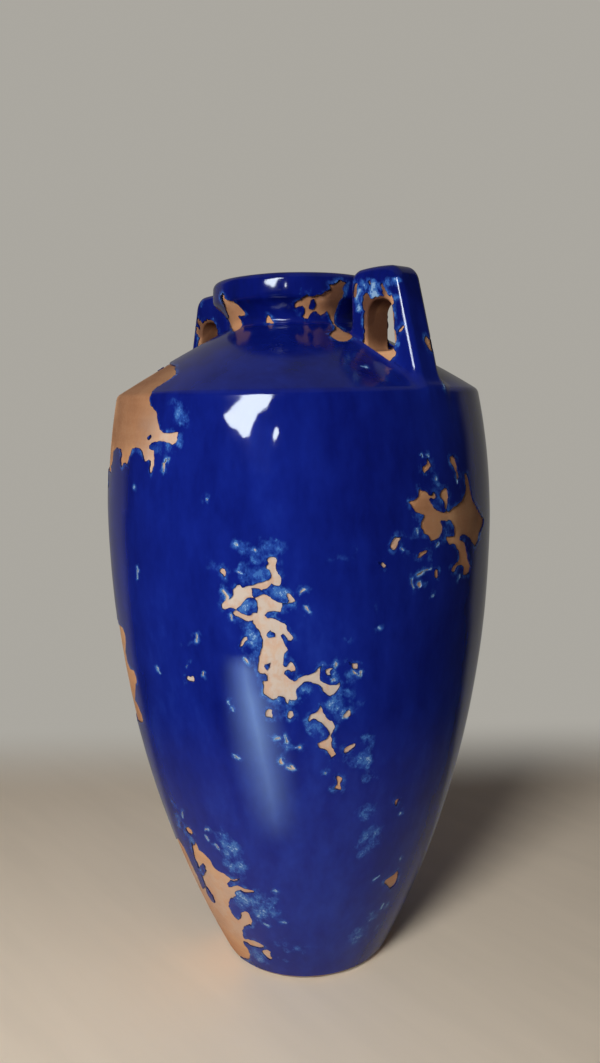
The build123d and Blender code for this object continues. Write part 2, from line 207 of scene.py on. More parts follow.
# Single small chips: from x, y to x, y and their width
CHIPS = [
    (335, 663, 337, 665.5, 2.6), (246, 658.5, 248, 661.5, 3), (301, 594, 304, 592, 2.6),
    (303.5, 604.5, 305, 608.5, 1.8), (305, 608.5, 308, 612, 1.3), (297.5, 748, 298.5, 749, 2.6),
    (273.5, 739, 277, 736, 1.6), (283.5, 736.5, 285.5, 741, 1.6), (281, 761, 282.5, 762.5, 4),
    (289, 767, 290.5, 769, 2.4), (293, 766, 293.5, 769, 2.6), (290, 770, 293, 770, 1.5),
    (233, 754.5, 239, 758.5, 2), (204, 673, 204, 676.5, 2), (325.5, 772.5, 325.6, 773, 2.4),
    (158.5, 669.5, 159, 672, 1.8), (160.5, 674, 161, 675, 1.3), (187, 665, 187.1, 665.2, 1.9),
    (196.5, 635.5, 196, 640, 1.6), (184.5, 644, 184, 647, 1.6), (239, 572, 243, 573.5, 1.8),
    (254, 549, 255.5, 551, 1.6), (422, 454.5, 422.3, 455, 2.8), (428, 454.5, 428.2, 455, 2),
    (435.5, 477, 436, 480, 2.4), (416.3, 529, 416.8, 532, 1.7), (437.5, 546.5, 439, 544, 1.5),
    (418.5, 573, 423, 571, 1.9), (423, 571, 430.5, 567, 1.7), (436.5, 571.5, 436.5, 576, 5.6),
    (411.5, 579, 413, 583, 1.9), (413, 583, 415.5, 587, 2.2), (420, 584, 422, 587, 3.4),
    (432.5, 594, 433, 594.3, 1.9), (459.5, 576, 459, 580, 1.8), (457, 477, 458.5, 481, 1.8),
    (204.5, 835, 208, 839, 2), (215.5, 845, 219, 849.5, 1.8), (274.5, 891.5, 275.3, 891.8, 2.3),
    (259, 915, 259.2, 915.2, 1.6), (265, 923.5, 267.5, 925, 1.9), (282, 922.7, 284, 923.3, 1.8),
    (375, 879.5, 378, 876.5, 2), (401.5, 811, 401.7, 811.2, 2), (400.5, 858.5, 400.7, 858.7, 2),
    (402, 549, 402.6, 549.5, 2), (136.5, 568, 137.5, 577, 1.6), (134, 486, 134.3, 486.3, 1.8),
    (206, 499, 206.4, 499.4, 1.8), (163, 462, 166, 461, 1.9), (164.5, 462, 163.5, 469, 2.4),
    (169, 460.5, 169.4, 460.7, 1.9), (361, 367, 366.5, 367.5, 1.5), (443.5, 384.5, 445, 388, 1.5),
    (229, 703, 229.4, 704, 1.4), (232, 708, 232.4, 711, 1.3), (379, 629, 379.3, 629.3, 1.4),
    (347.5, 640.5, 347.8, 640.8, 1.3), (237, 544.5, 237.4, 544.8, 1.5), (205, 830, 207, 829, 1.5),
    (347, 717.5, 344, 716, 1.6), (353.5, 672, 357, 676, 2.2), (223, 591, 225, 600, 3.6),
    (232, 615, 234, 619, 1.6), (182, 812, 183, 818, 1.7), (330, 680, 334, 679, 1.2),
    (359, 671, 360, 676, 1.6), (383, 905, 381.5, 908, 1.3),
]

# Chips on the handles: from x, y to x, y, and half the width in millimetres
HANDLE_CHIPS = [
    (355.5, 285, 354, 294, 1.35), (364.5, 298, 364, 308, 1.0), (366, 296, 369, 303, 1.2),
    (369, 282, 370, 284, 0.6), (382, 285, 384, 293, 0.95), (385, 294, 389, 303, 1.55),
    (388, 303, 391, 309, 1.1), (391, 297, 392.5, 303, 0.7), (384, 353, 387.5, 358, 1.45),
    (387.5, 358, 392, 354, 1.35), (393.5, 350, 394, 354, 0.8), (367, 350, 375, 352, 0.7),
    (393.5, 343, 396.5, 334, 0.42), (396.5, 334, 402.5, 327, 0.42), (427, 339, 431.5, 348, 1.5),
    (431, 338, 433, 350, 1.3), (199, 335, 204, 341, 1.5), (197, 331, 200, 336, 1.2),
    (198, 321, 203, 328, 1.4), (195.5, 327, 198, 329, 0.7),
]

# Glaze bruised pale without coming off: x, y, reach and strength
BRUISES = [
    (177, 411, 9, 1.0), (180, 419, 8, 0.9), (184, 424, 8, 0.75), (181, 442, 7, 0.8), (171, 404, 9, 0.35),
    (160, 446, 9, 0.5), (170, 452, 9, 0.4), (164, 465, 5, 0.5), (275, 545, 12, 0.5), (262, 553, 12, 0.55),
    (247, 552, 12, 0.5), (245, 577, 13, 0.45), (264, 576, 9, 0.75), (224, 595, 6, 0.95),
    (245, 608, 7, 0.95), (252, 604, 7, 0.6), (280, 594, 9, 0.8), (292, 602, 10, 0.5), (284, 613, 7, 0.55),
    (247, 626, 10, 0.5), (254, 640, 10, 0.75), (254, 660, 9, 0.55), (270, 634, 5, 0.9), (266, 668, 5, 0.8),
    (281, 700, 9, 0.6), (300, 693, 10, 0.75), (310, 688, 9, 0.55), (280, 712, 9, 0.55), (318, 727, 9, 0.8),
    (324, 732, 7, 0.7), (336, 703, 9, 0.9), (342, 695, 9, 0.5), (338, 715, 8, 0.7), (331, 674, 8, 0.6),
    (353, 675, 9, 0.7), (357, 700, 9, 0.4), (365, 742, 8, 0.6), (366, 757, 9, 0.75), (352, 760, 11, 0.4),
    (369, 778, 9, 0.55), (285, 745, 10, 0.35), (233, 858, 12, 0.65), (236, 848, 10, 0.5),
    (238, 870, 10, 0.6), (230, 866, 9, 0.5), (222, 838, 7, 0.4), (240, 903, 9, 0.7), (248, 905, 9, 0.65),
    (254, 912, 10, 0.55), (258, 895, 11, 0.35), (275, 900, 6, 0.5), (270, 916, 9, 0.35),
    (256, 953, 8, 0.7), (262, 960, 9, 0.5), (283, 960, 7, 0.35), (186, 850, 6, 0.75), (180, 832, 7, 0.5),
    (183, 815, 7, 0.5), (285, 940, 8, 0.25), (365, 805, 6, 0.5), (372, 837, 8, 0.65), (365, 842, 9, 0.4),
    (360, 930, 8, 0.45), (361, 938, 7, 0.5), (387, 905, 7, 0.4), (402, 553, 7, 0.5), (419, 516, 6, 0.6),
    (417, 532, 7, 0.35), (433, 503, 5, 0.8), (421, 586, 5, 0.7), (436, 483, 7, 0.4), (430, 556, 6, 0.4),
    (447, 528, 7, 0.3), (184, 645, 7, 0.35), (185, 683, 8, 0.3), (124, 632, 5, 0.5), (195, 655, 9, 0.25),
    (335, 560, 12, 0.25), (358, 552, 12, 0.25), (373, 610, 12, 0.25), (344, 820, 12, 0.15),
    (210, 560, 12, 0.3), (312, 290, 6, 0.4), (303, 293, 5, 0.45), (230, 850, 12, 0.95),
    (237, 866, 11, 0.9), (224, 838, 9, 0.75), (246, 901, 13, 0.95), (257, 912, 12, 0.85),
    (270, 906, 10, 0.6), (368, 812, 11, 0.5), (370, 838, 14, 0.62), (362, 852, 11, 0.5),
    (300, 950, 12, 0.45), (262, 958, 11, 0.85), (285, 945, 11, 0.5), (360, 935, 12, 0.55),
    (374, 915, 11, 0.5), (178, 820, 9, 0.85), (173, 802, 8, 0.6), (190, 838, 7, 0.8), (381, 925, 9, 0.5),
]
HANDLE_BRUISES = [
    (361, 286, 2.6, 1.08), (357, 297, 2.6, 1.08), (360, 307, 2.0, 1.05), (372, 288, 2.8, 1.08),
    (375, 295, 2.4, 1.08), (378, 284, 2.0, 1.05), (388, 283, 2.2, 0.8), (394, 281, 1.8, 0.75),
    (394, 298, 1.8, 0.75), (400, 300, 1.6, 0.4), (204, 325, 2.6, 0.9), (201, 303, 3.0, 0.4),
    (415, 320, 3.2, 0.35), (397, 344, 1.6, 0.6), (366, 316, 2.0, 0.4),
]

# The window's two panes as the glaze mirrors them, and the bright strip of table under it
WINDOW_PANE = [(223.5, 415), (240, 402), (246, 395), (258, 394), (272, 394.5), (271, 400), (267, 406),
               (258, 411), (253, 421), (249, 437), (243, 439), (235, 430), (229, 427)]
NARROW_PANE = [(273.5, 440), (275, 431), (276.5, 427), (278.5, 430), (278.8, 436), (277.5, 441.5), (275, 443)]

# The borders of the lit strip of table that the glaze mirrors, from the top down, and how it glows there
STREAK_LEFT = [(218, 652), (218, 672), (219, 700), (224, 730), (228, 760), (237, 800), (250, 845)]
STREAK_RIGHT = [(264, 652), (272, 674), (283, 700), (290, 730), (297, 760), (305, 800), (310, 845)]
STREAK_GLOW = [0.0, 1.15, 1.45, 1.35, 1.0, 0.65, 0.0]

# Where the bare clay is paler, part bleach and part painted sheen: x, y, reach in millimetres and strength
PALE_AND_SHEEN = [(272, 650, 78.0, 0.95), (222, 905, 34.0, 0.45), (330, 950, 50.0, 0.8), (200, 480, 45.0, 0.7)]

# Where painted shade darkens the bare clay: x, y, reach in millimetres and strength
SHADED_CLAY = [(372, 292, 10.0, 0.85), (373, 312, 11.0, 0.92), (374, 328, 9.0, 0.8), (351, 299, 15.0, 0.82),
           (361, 312, 6.0, 0.8), (204, 326, 11.0, 0.8), (470, 510, 20.0, 0.45), (432, 522, 15.0, 0.35),
           (132, 396, 34.0, 0.42), (160, 372, 16.0, 0.45)]


@dataclass(frozen=True)
class PhotoCamera:
    """Where the photograph was taken from, and how its pixels look out into the room."""

    frame_width: float = 600.0
    frame_height: float = 1063.0
    focal_length: float = 860.0
    bearing: float = math.radians(48.26)
    distance: float = 408.5
    height: float = 267.0
    sidestep: float = 0.33
    pitch: float = math.radians(8.4176)
    roll: float = math.radians(0.992)
    sensor: float = 36.0

    @cached_property
    def right(self) -> np.ndarray:
        """The level direction towards the photograph's right."""
        return np.array([math.cos(self.bearing), math.sin(self.bearing), 0.0])

    @cached_property
    def level(self) -> np.ndarray:
        """The level direction away from the camera."""
        return np.array([-math.sin(self.bearing), math.cos(self.bearing), 0.0])

    @cached_property
    def forward(self) -> np.ndarray:
        """The direction that the lens points."""
        return self.level * math.cos(self.pitch) - np.array([0.0, 0.0, math.sin(self.pitch)])

    @cached_property
    def place(self) -> np.ndarray:
        """The lens's place."""
        return -self.level * self.distance + self.right * self.sidestep + np.array([0.0, 0.0, self.height])

    def rays(self, pixels: np.ndarray) -> np.ndarray:
        """Find the directions in which pixels of the photograph look.

        Args:
            pixels: Places in the photograph, one row each.

        Returns:
            Unit directions, one row each.
        """
        across = pixels[:, 0] - self.frame_width / 2
        upward = self.frame_height / 2 - pixels[:, 1]
        cosine, sine = math.cos(self.roll), math.sin(self.roll)
        level_across = across * cosine + upward * sine
        level_up = upward * cosine - across * sine
        up = np.cross(self.right, self.forward)
        rays = self.forward * self.focal_length + np.outer(level_across, self.right) + np.outer(level_up, up)
        return rays / np.linalg.norm(rays, axis=1, keepdims=True)

    def make(self) -> bpy.types.Object:
        """Add the camera and make it the scene's own.

        Returns:
            The camera object.
        """
        data = bpy.data.cameras.new("photo_camera")
        data.sensor_width = self.sensor
        data.lens = self.focal_length / self.frame_height * self.sensor
        data.clip_start, data.clip_end = 0.01, 50.0
        camera = bpy.data.objects.new("photo_camera", data)
        bpy.context.scene.collection.objects.link(camera)
        turn = Vector(self.forward).to_track_quat("-Z", "Y").to_matrix().to_4x4()
        place = Matrix.Translation(Vector(self.place * MM))
        camera.matrix_world = place @ turn @ Matrix.Rotation(-self.roll, 4, "Z")
        bpy.context.scene.camera = camera
        return camera


@dataclass
class Bend:
    """A circle that one stretch of an outline follows, with the solid inside it or outside it."""

    centre: tuple[float, float]
    radius: float
    solid_inside: bool = True
    start: float = 0.0
    sweep: float = 0.0

    def at(self, share: float | np.ndarray) -> np.ndarray:
        """Find the place, or the places, a share of the way along the stretch."""
        angle = self.start + self.sweep * np.asarray(share)
        return np.array(self.centre) + self.radius * np.stack([np.cos(angle), np.sin(angle)], axis=-1)

    @property
    def length(self) -> float:
        """The length of the stretch."""
        return abs(self.sweep) * self.radius


def straight(start: tuple, end: tuple) -> Bend:
    """Make a stretch with so large a radius that it runs straight, the solid on its left.

    Args:
        start: A place that it passes.
        end: A later place that it passes.

    Returns:
        The stretch.
    """
    along = np.subtract(end, start) / math.dist(start, end)
    centre = np.array(start) + STRAIGHT_RADIUS * np.array([-along[1], along[0]])
    return Bend(tuple(centre), STRAIGHT_RADIUS)


def bowed(start: tuple, middle: tuple, end: tuple) -> Bend:
    """Make a stretch that bows outward through three places, the solid inside it.

    Args:
        start: The first place.
        middle: A place between.
        end: The last place.

    Returns:
        The stretch.
    """
    first, second = np.subtract(middle, start), np.subtract(end, start)
    slopes = np.array([first, second])
    centre = np.linalg.solve(slopes, (slopes**2).sum(axis=1) / 2) + start
    return Bend(tuple(centre), math.dist(centre, start))


def rounding(before: Bend, after: Bend, radius: float, near: tuple, hollow: bool = False) -> Bend:
    """Make the stretch that rounds the corner between two others.

    Args:
        before: The stretch before the corner.
        after: The stretch after it.
        radius: The rounding's radius.
        near: A place near the corner.
        hollow: Whether the rounding fills a hollow corner.

    Returns:
        The rounding.
    """
    reaches = [bend.radius + radius * (1 if bend.solid_inside == hollow else -1) for bend in (before, after)]
    first, second = np.array(before.centre), np.array(after.centre)
    apart = math.dist(first, second)
    along = (second - first) / apart
    share = (apart**2 + reaches[0] ** 2 - reaches[1] ** 2) / (2 * apart)
    aside = math.sqrt(max(reaches[0] ** 2 - share**2, 0.0)) * np.array([-along[1], along[0]])
    centres = [first + along * share + aside * side for side in (1, -1)]
    return Bend(tuple(min(centres, key=lambda centre: math.dist(centre, near))), radius, not hollow)


class Outline:
    """A chain of bends that run smoothly into one another, with the solid on its left."""

    def __init__(self, bends: list[Bend], start: tuple, end: tuple) -> None:
        """Find where each bend starts and ends.

        Args:
            bends: The bends in order.
            start: Where the first begins.
            end: Where the last ends.
        """
        self.bends = bends
        joints = [np.array(start)]
        for first, second in zip(bends, bends[1:]):
            towards = np.subtract(second.centre, first.centre)
            towards = towards / np.linalg.norm(towards)
            if first.solid_inside == second.solid_inside and first.radius < second.radius:
                towards = -towards
            joints.append(np.array(first.centre) + towards * first.radius)
        joints.append(np.array(end))
        for bend, low, high in zip(bends, joints, joints[1:]):
            angles = [math.atan2(*(place - bend.centre)[::-1]) for place in (low, high)]
            way = 1.0 if bend.solid_inside else -1.0
            bend.start, bend.sweep = angles[0], way * (way * (angles[1] - angles[0]) % math.tau)
        self.starts = np.concatenate([[0.0], np.cumsum([bend.length for bend in bends])])

    def measure(self, across: np.ndarray, up: np.ndarray) -> tuple[np.ndarray, np.ndarray]:
        """Measure places against the outline.

        Args:
            across: Their first coordinates.
            up: Their second coordinates.

        Returns:
            Their distances, negative inside the solid, and how far along the outline they lie.
        """
        best = np.full(across.shape, 1.0e9)
        along = np.zeros(across.shape)
        for bend, first in zip(self.bends, self.starts):
            away, over = across - bend.centre[0], up - bend.centre[1]
            reach = np.hypot(away, over)
            side = 1.0 if bend.solid_inside else -1.0
            distance = side * (reach - bend.radius)
            angle = np.arctan2(over, away) - bend.start
            angle = (angle * side + math.pi - abs(bend.sweep) / 2) % math.tau - math.pi + abs(bend.sweep) / 2
            share = np.minimum(np.maximum(angle / abs(bend.sweep), 0.0), 1.0)
            beyond = np.flatnonzero(share * abs(bend.sweep) != angle)
            last = bend.start + bend.sweep * share[beyond]
            away, over = away[beyond] - bend.radius * np.cos(last), over[beyond] - bend.radius * np.sin(last)
            outward = side * (away * np.cos(last) + over * np.sin(last))
            distance[beyond] = np.where(outward < 0.0, -1.0, 1.0) * np.hypot(away, over)
            nearer = np.abs(distance) < np.abs(best) - 1e-9
            best[nearer] = distance[nearer]
            along[nearer] = first + share[nearer] * bend.length
        return best, along

    def at(self, along: float) -> np.ndarray:
        """Find the place a given way along the outline."""
        index = int(np.clip(np.searchsorted(self.starts, along, side="right") - 1, 0, len(self.bends) - 1))
        return self.bends[index].at((along - self.starts[index]) / self.bends[index].length)

    def walk(self, low: float, high: float, step: float, turn: float) -> np.ndarray:
        """Step along the outline, closer where it bends tightly.

        Args:
            low: Where to start, along the outline.
            high: Where to end.
            step: The longest step.
            turn: The most that one step may turn, in radians.

        Returns:
            The places, one row each.
        """
        places = [self.at(low)]
        for bend, first in zip(self.bends, self.starts):
            ends = [min(max(value, first), first + bend.length) for value in (low, high)]
            if ends[1] - ends[0] < 1e-6:
                continue
            count = math.ceil((ends[1] - ends[0]) / min(step, turn * bend.radius) - 1e-6)
            shares = (np.linspace(*ends, count + 1)[1:] - first) / bend.length
            places.extend(bend.at(shares))
        return np.array(places)
def arc_radius(across: float, up: float) -> float:
    """Find the radius of an arc that starts plumb and drifts this far across as it rises this far."""
    return (across**2 + up**2) / (2 * across)
@dataclass
class JarShape:
    """The glazed jar as one smooth surface: a turned body with two lugs luted to its shoulder."""

    foot_radius: float = 40.7
    foot_rounding: float = 4.5
    belly_height: float = 212.7
    shoulder_radius: float = 83.1
    shoulder_height: float = 272.4
    shoulder_rounding: float = 4.0
    shoulder_crown: float = 0.8
    neck_radius: float = 29.8
    neck_height: float = 302.0
    neck_sunk_depth: float = 3.0
    root_rounding: float = 3.0
    lip_radius: float = 37.7
    lip_rounding: float = 3.2
    lip_band: float = 4.6
    lip_bow: float = 60.0
    lip_tilt: float = math.radians(5.0)
    lip_lower_rounding: float = 3.4
    throat_radius: float = 24.0
    throat_base_height: float = 296.766
    throat_length: float = 9.0
    throat_rounding: float = 3.6
    glaze_thickness: float = 0.6
    lug_inner_reach: float = 42.0
    lug_foot_reach: float = 81.6
    lug_top_reach: float = 68.6
    lug_top_height: float = 321.4
    lug_crown: float = 0.9
    lug_thickness: float = 14.7
    lug_inner_rounding: float = 6.0
    lug_outer_rounding: float = 7.5
    lug_edge_rounding: float = 3.4
    slot_inner_reach: float = 51.9
    slot_sill_width: float = 15.4
    slot_top_width: float = 13.2
    slot_sill_height: float = 288.0
    slot_top_height: float = 308.8
    slot_top_rounding: float = 5.4
    slot_sill_rounding: float = 3.0
    slot_mouth_rounding: float = 1.2
    luting: float = 5.2
    ripple_depth: float = 0.12
    belly_radius: float = field(init=False)
    mouth_height: float = field(init=False)
    ripples: list = field(init=False)

    def __post_init__(self) -> None:
        """Take the widest and highest sizes from the frame and lay out the ripples of the glaze."""
        self.belly_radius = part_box("glaze_body")[1].x / MM
        self.mouth_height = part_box("glaze_neck")[1].z / MM
        self.ripples = wave_field(seed=7, count=14, longest=46.0, shortest=15.0)

    @cached_property
    def outline(self) -> Outline:
        """The jar's half outline, from under the foot, over the lip and down the throat."""
        belly, shoulder = self.belly_radius, self.shoulder_radius
        flank_arc = arc_radius(belly - self.foot_radius, self.belly_height)
        upper_arc = arc_radius(belly - shoulder, self.shoulder_height - self.belly_height)
        lip_height = self.mouth_height - self.lip_rounding
        flare_base = self.neck_height - self.neck_sunk_depth
        flare_arc = arc_radius((self.lip_radius - self.neck_radius) / 2, (lip_height - flare_base) / 2)
        bell_radius = self.lip_radius - 2 * self.lip_rounding
        throat_top = self.throat_base_height + self.throat_length
        bell_arc = arc_radius((bell_radius - self.throat_radius) / 2, (lip_height - throat_top) / 2)
        edge, root = (shoulder, self.shoulder_height), (self.neck_radius, self.neck_height)
        crown = ((edge[0] + root[0]) / 2, (edge[1] + root[1]) / 2 + self.shoulder_crown)
        slope = (root[1] - edge[1]) / (edge[0] - root[0])
        ceiling_drop = (self.lip_radius - self.throat_radius) * slope
        ceiling_end = (self.lip_radius, self.throat_base_height - ceiling_drop)
        throat_base = (self.throat_radius, self.throat_base_height)
        root_corner = (self.neck_radius + self.root_rounding, self.neck_height + self.root_rounding)

        under = straight((0.0, 0.0), (self.foot_radius, 0.0))
        flank = Bend((belly - flank_arc, self.belly_height), flank_arc)
        upper = Bend((belly - upper_arc, self.belly_height), upper_arc)
        slope_bend = bowed(edge, crown, root)
        hollow_flare = Bend((self.neck_radius + flare_arc, flare_base), flare_arc, solid_inside=False)
        lip_centre = np.array([self.lip_radius - self.lip_rounding, lip_height])
        lip = Bend(tuple(lip_centre), self.lip_rounding)
        outward = np.array([math.cos(self.lip_tilt), math.sin(self.lip_tilt)])
        band = Bend(tuple(lip_centre + outward * (self.lip_rounding - self.lip_bow)), self.lip_bow)
        foot_turn = self.lip_tilt - self.lip_band / self.lip_bow
        band_way = np.array([math.cos(foot_turn), math.sin(foot_turn)])
        band_foot = np.array(band.centre) + self.lip_bow * band_way
        bell = Bend((bell_radius - bell_arc, lip_height), bell_arc, solid_inside=False)
        throat_mouth = Bend((self.throat_radius + bell_arc, throat_top), bell_arc)
        throat = straight((self.throat_radius, throat_top), throat_base)
        ceiling = straight(throat_base, ceiling_end)
        bends = [
            under,
            rounding(under, flank, self.foot_rounding, (self.foot_radius, 0.0)),
            flank,
            upper,
            rounding(upper, slope_bend, self.shoulder_rounding, edge),
            slope_bend,
            rounding(slope_bend, hollow_flare, self.root_rounding, root_corner, hollow=True),
            hollow_flare,
            rounding(hollow_flare, band, self.lip_lower_rounding, tuple(band_foot)),
            band,
            lip,
            bell,
            throat_mouth,
            throat,
            rounding(throat, ceiling, self.throat_rounding, throat_base),
            ceiling,
        ]
        return Outline(bends, (0.0, 0.0), ceiling_end)

    @cached_property
    def lug_outline(self) -> Outline:
        """The lug's outline across the jar, up its outer side, over the top and down its inner side."""
        top = self.lug_top_height
        foot, outer = (self.lug_foot_reach, self.shoulder_height), (self.lug_top_reach, top)
        inner = (self.lug_inner_reach, top)
        crown = ((inner[0] + outer[0]) / 2, top + self.lug_crown)
        lean = (foot[0] - outer[0]) / (top - foot[1])
        sunk = (foot[0] + lean * self.lug_thickness, foot[1] - self.lug_thickness)
        outer_side = straight(sunk, outer)
        crest = bowed(outer, crown, inner)
        inner_side = straight(inner, (inner[0], sunk[1]))
        bends = [
            outer_side,
            rounding(outer_side, crest, self.lug_outer_rounding, outer),
            crest,
            rounding(crest, inner_side, self.lug_inner_rounding, inner),
            inner_side,
        ]
        return Outline(bends, sunk, (inner[0], sunk[1]))

    @cached_property
    def slot_outline(self) -> Outline:
        """The slot's outline, taken as a solid, round from the middle of its sill."""
        left, sill, top = self.slot_inner_reach, self.slot_sill_height, self.slot_top_height
        sill_end, top_end = left + self.slot_sill_width, left + self.slot_top_width
        corners = [(sill_end, sill), (top_end, top), (left, top), (left, sill)]
        middle = (left + self.slot_sill_width / 2, sill)
        sides = [straight(start, end) for start, end in zip(corners, corners[1:] + corners[:1])]
        lower, upper = self.slot_sill_rounding, self.slot_top_rounding
        radii = [lower, upper, upper, lower]
        chain = [straight(middle, corners[0])]
        for before, after, radius, corner in zip([chain[0]] + sides, sides, radii, corners):
            chain.extend([rounding(before, after, radius, corner), after])
        return Outline(chain, middle, middle)

    def slot_middle(self, side: int) -> np.ndarray:
        """Find the middle of the slot through the lug on one side, 1 or -1."""
        reach = self.slot_inner_reach + (self.slot_sill_width + self.slot_top_width) / 4
        return np.array([side * reach, 0.0, (self.slot_sill_height + self.slot_top_height) / 2])

    def split(self, points: np.ndarray) -> tuple[np.ndarray, np.ndarray, np.ndarray]:
        """Measure places against the turned body and the lugs apart.

        Args:
            points: Places, one row each.

        Returns:
            The distance to the body, the distance to the nearer lug, and the way along the body's outline.
        """
        body, along = self.outline.measure(np.hypot(points[:, 0], points[:, 1]), points[:, 2])
        lug = np.full(len(points), FAR_GAP)
        near = np.flatnonzero(
            (points[:, 2] > self.shoulder_height - 2 * FAR_GAP)
            & (np.abs(points[:, 0]) > self.lug_inner_reach - FAR_GAP)
            & (np.abs(points[:, 1]) < self.lug_thickness / 2 + FAR_GAP)
        )
        reach, aside = np.abs(points[near, 0]), np.abs(points[near, 1])
        flat, _ = self.lug_outline.measure(reach, points[near, 2])
        flat = np.maximum(flat, reach - self.lug_foot_reach)
        edge = self.lug_edge_rounding
        inward, sideways = flat + edge, aside - self.lug_thickness / 2 + edge
        rounded = np.hypot(np.maximum(inward, 0.0), np.maximum(sideways, 0.0)) - edge
        lug[near] = np.minimum(rounded + np.minimum(np.maximum(inward, sideways), 0.0), FAR_GAP)
        return body, lug, along

    def level(self, points: np.ndarray, rippled: bool = True) -> np.ndarray:
        """Measure places against the whole glazed surface.

        Args:
            points: Places, one row each.
            rippled: Whether the glaze's slight unevenness counts.

        Returns:
            Distances, negative inside.
        """
        body, lug, _ = self.split(points)
        overlap = np.maximum(self.luting - np.abs(body - lug), 0.0) / self.luting
        distance = np.minimum(body, lug) - overlap**2 * self.luting / 4
        if rippled:
            distance = distance + self.ripple_depth * (0.5 + 0.5 * waves_at(self.ripples, points))
        return distance

    def slope(self, points: np.ndarray, rippled: bool = True) -> np.ndarray:
        """Find the surface's outward directions.

        Args:
            points: Places on or near the surface, one row each.
            rippled: Whether the glaze's slight unevenness counts.

        Returns:
            Unit directions, one row each.
        """
        probes = np.array([(1, -1, -1), (-1, -1, 1), (-1, 1, -1), (1, 1, 1)]) * 0.02
        rises = sum(probe * self.level(points + probe, rippled)[:, None] for probe in probes)
        return rises / np.maximum(np.linalg.norm(rises, axis=1, keepdims=True), 1e-12)

    def settle(self, points: np.ndarray) -> np.ndarray:
        """Move places onto the surface.

        Args:
            points: Places near the surface, one row each.

        Returns:
            The places on it.
        """
        for _ in range(3):
            points = points - self.slope(points) * self.level(points)[:, None]
        return points

    def seen(self, camera: PhotoCamera, pixels: np.ndarray) -> np.ndarray:
        """Find the places on the jar that pixels of the photograph show.

        A pixel that misses the jar gives a place round the back, further round for a wider miss.

        Args:
            camera: The photograph's camera.
            pixels: Places in the photograph, one row each.

        Returns:
            Places on the jar, one row each.
        """
        rays = camera.rays(pixels)
        reach = np.full(len(rays), camera.distance - 2 * self.belly_radius)
        closest, closest_reach = np.full(len(rays), 1e9), reach.copy()
        for _ in range(120):
            distance = self.level(camera.place + rays * reach[:, None], rippled=False)
            nearer = distance < closest
            closest = np.where(nearer, distance, closest)
            closest_reach = np.where(nearer, reach, closest_reach)
            reach = reach + np.maximum(distance, 0.0) * 0.9 + np.where(distance > 0.02, 0.01, 0.0)
        places = camera.place + rays * closest_reach[:, None]
        places = places - self.slope(places, rippled=False) * closest[:, None]
        home = math.atan2(camera.place[1], camera.place[0])
        angle = np.arctan2(places[:, 1], places[:, 0])
        side = np.sign((angle - home + math.pi) % math.tau - math.pi)
        turn = side * MISS_TURN * np.maximum(closest - MISS_SLACK, 0.0)
        cosine, sine = np.cos(turn), np.sin(turn)
        across = places[:, 0] * cosine - places[:, 1] * sine
        along = places[:, 0] * sine + places[:, 1] * cosine
        return np.stack([across, along, places[:, 2]], axis=1)

    def chart(self, points: np.ndarray) -> np.ndarray:
        """Find places' angles round the jar and their ways along its outline, one row each."""
        return np.stack([np.arctan2(points[:, 1], points[:, 0]), self.split(points)[2]], axis=1)

    @cached_property
    def stations(self) -> tuple[np.ndarray, np.ndarray]:
        """Closely spaced ways along the outline and their heights."""
        ways = np.linspace(0.0, self.outline.starts[-1], 6000)
        return ways, np.array([self.outline.at(way)[1] for way in ways])

    def station(self, height: float, inside: bool = False) -> float:
        """Find how far along the outline a height is reached.

        Args:
            height: The height.
            inside: Whether the height is one down the throat.

        Returns:
            The way along the outline.
        """
        ways, heights = self.stations
        top = int(np.argmax(heights))
        if inside:
            return float(np.interp(-height, -heights[top:], ways[top:]))
        return float(np.interp(height, heights[: top + 1], ways[: top + 1]))


def wave_field(seed: int, count: int, longest: float, shortest: float) -> list:
    """Lay out waves that cross at random.

    Args:
        seed: The random start.
        count: How many waves.
        longest: The longest wavelength.
        shortest: The shortest wavelength.

    Returns:
        Each wave's direction times its rate, and its phase.
    """
    draw = random.Random(seed)
    waves = []
    for index in range(count):
        length = longest * (shortest / longest) ** (index / max(count - 1, 1))
        way = Vector((draw.gauss(0, 1), draw.gauss(0, 1), draw.gauss(0, 1))).normalized()
        waves.append((np.array(way) * math.tau / length, draw.uniform(0.0, math.tau)))
    return waves


def waves_at(waves: list, points: np.ndarray) -> np.ndarray:
    """Add up the waves at places, one row each: heights mostly between -1 and 1."""
    total = sum(np.sin(points @ rate + phase) for rate, phase in waves)
    return np.clip(total / (WAVE_CREST * math.sqrt(len(waves))), -1.0, 1.0)


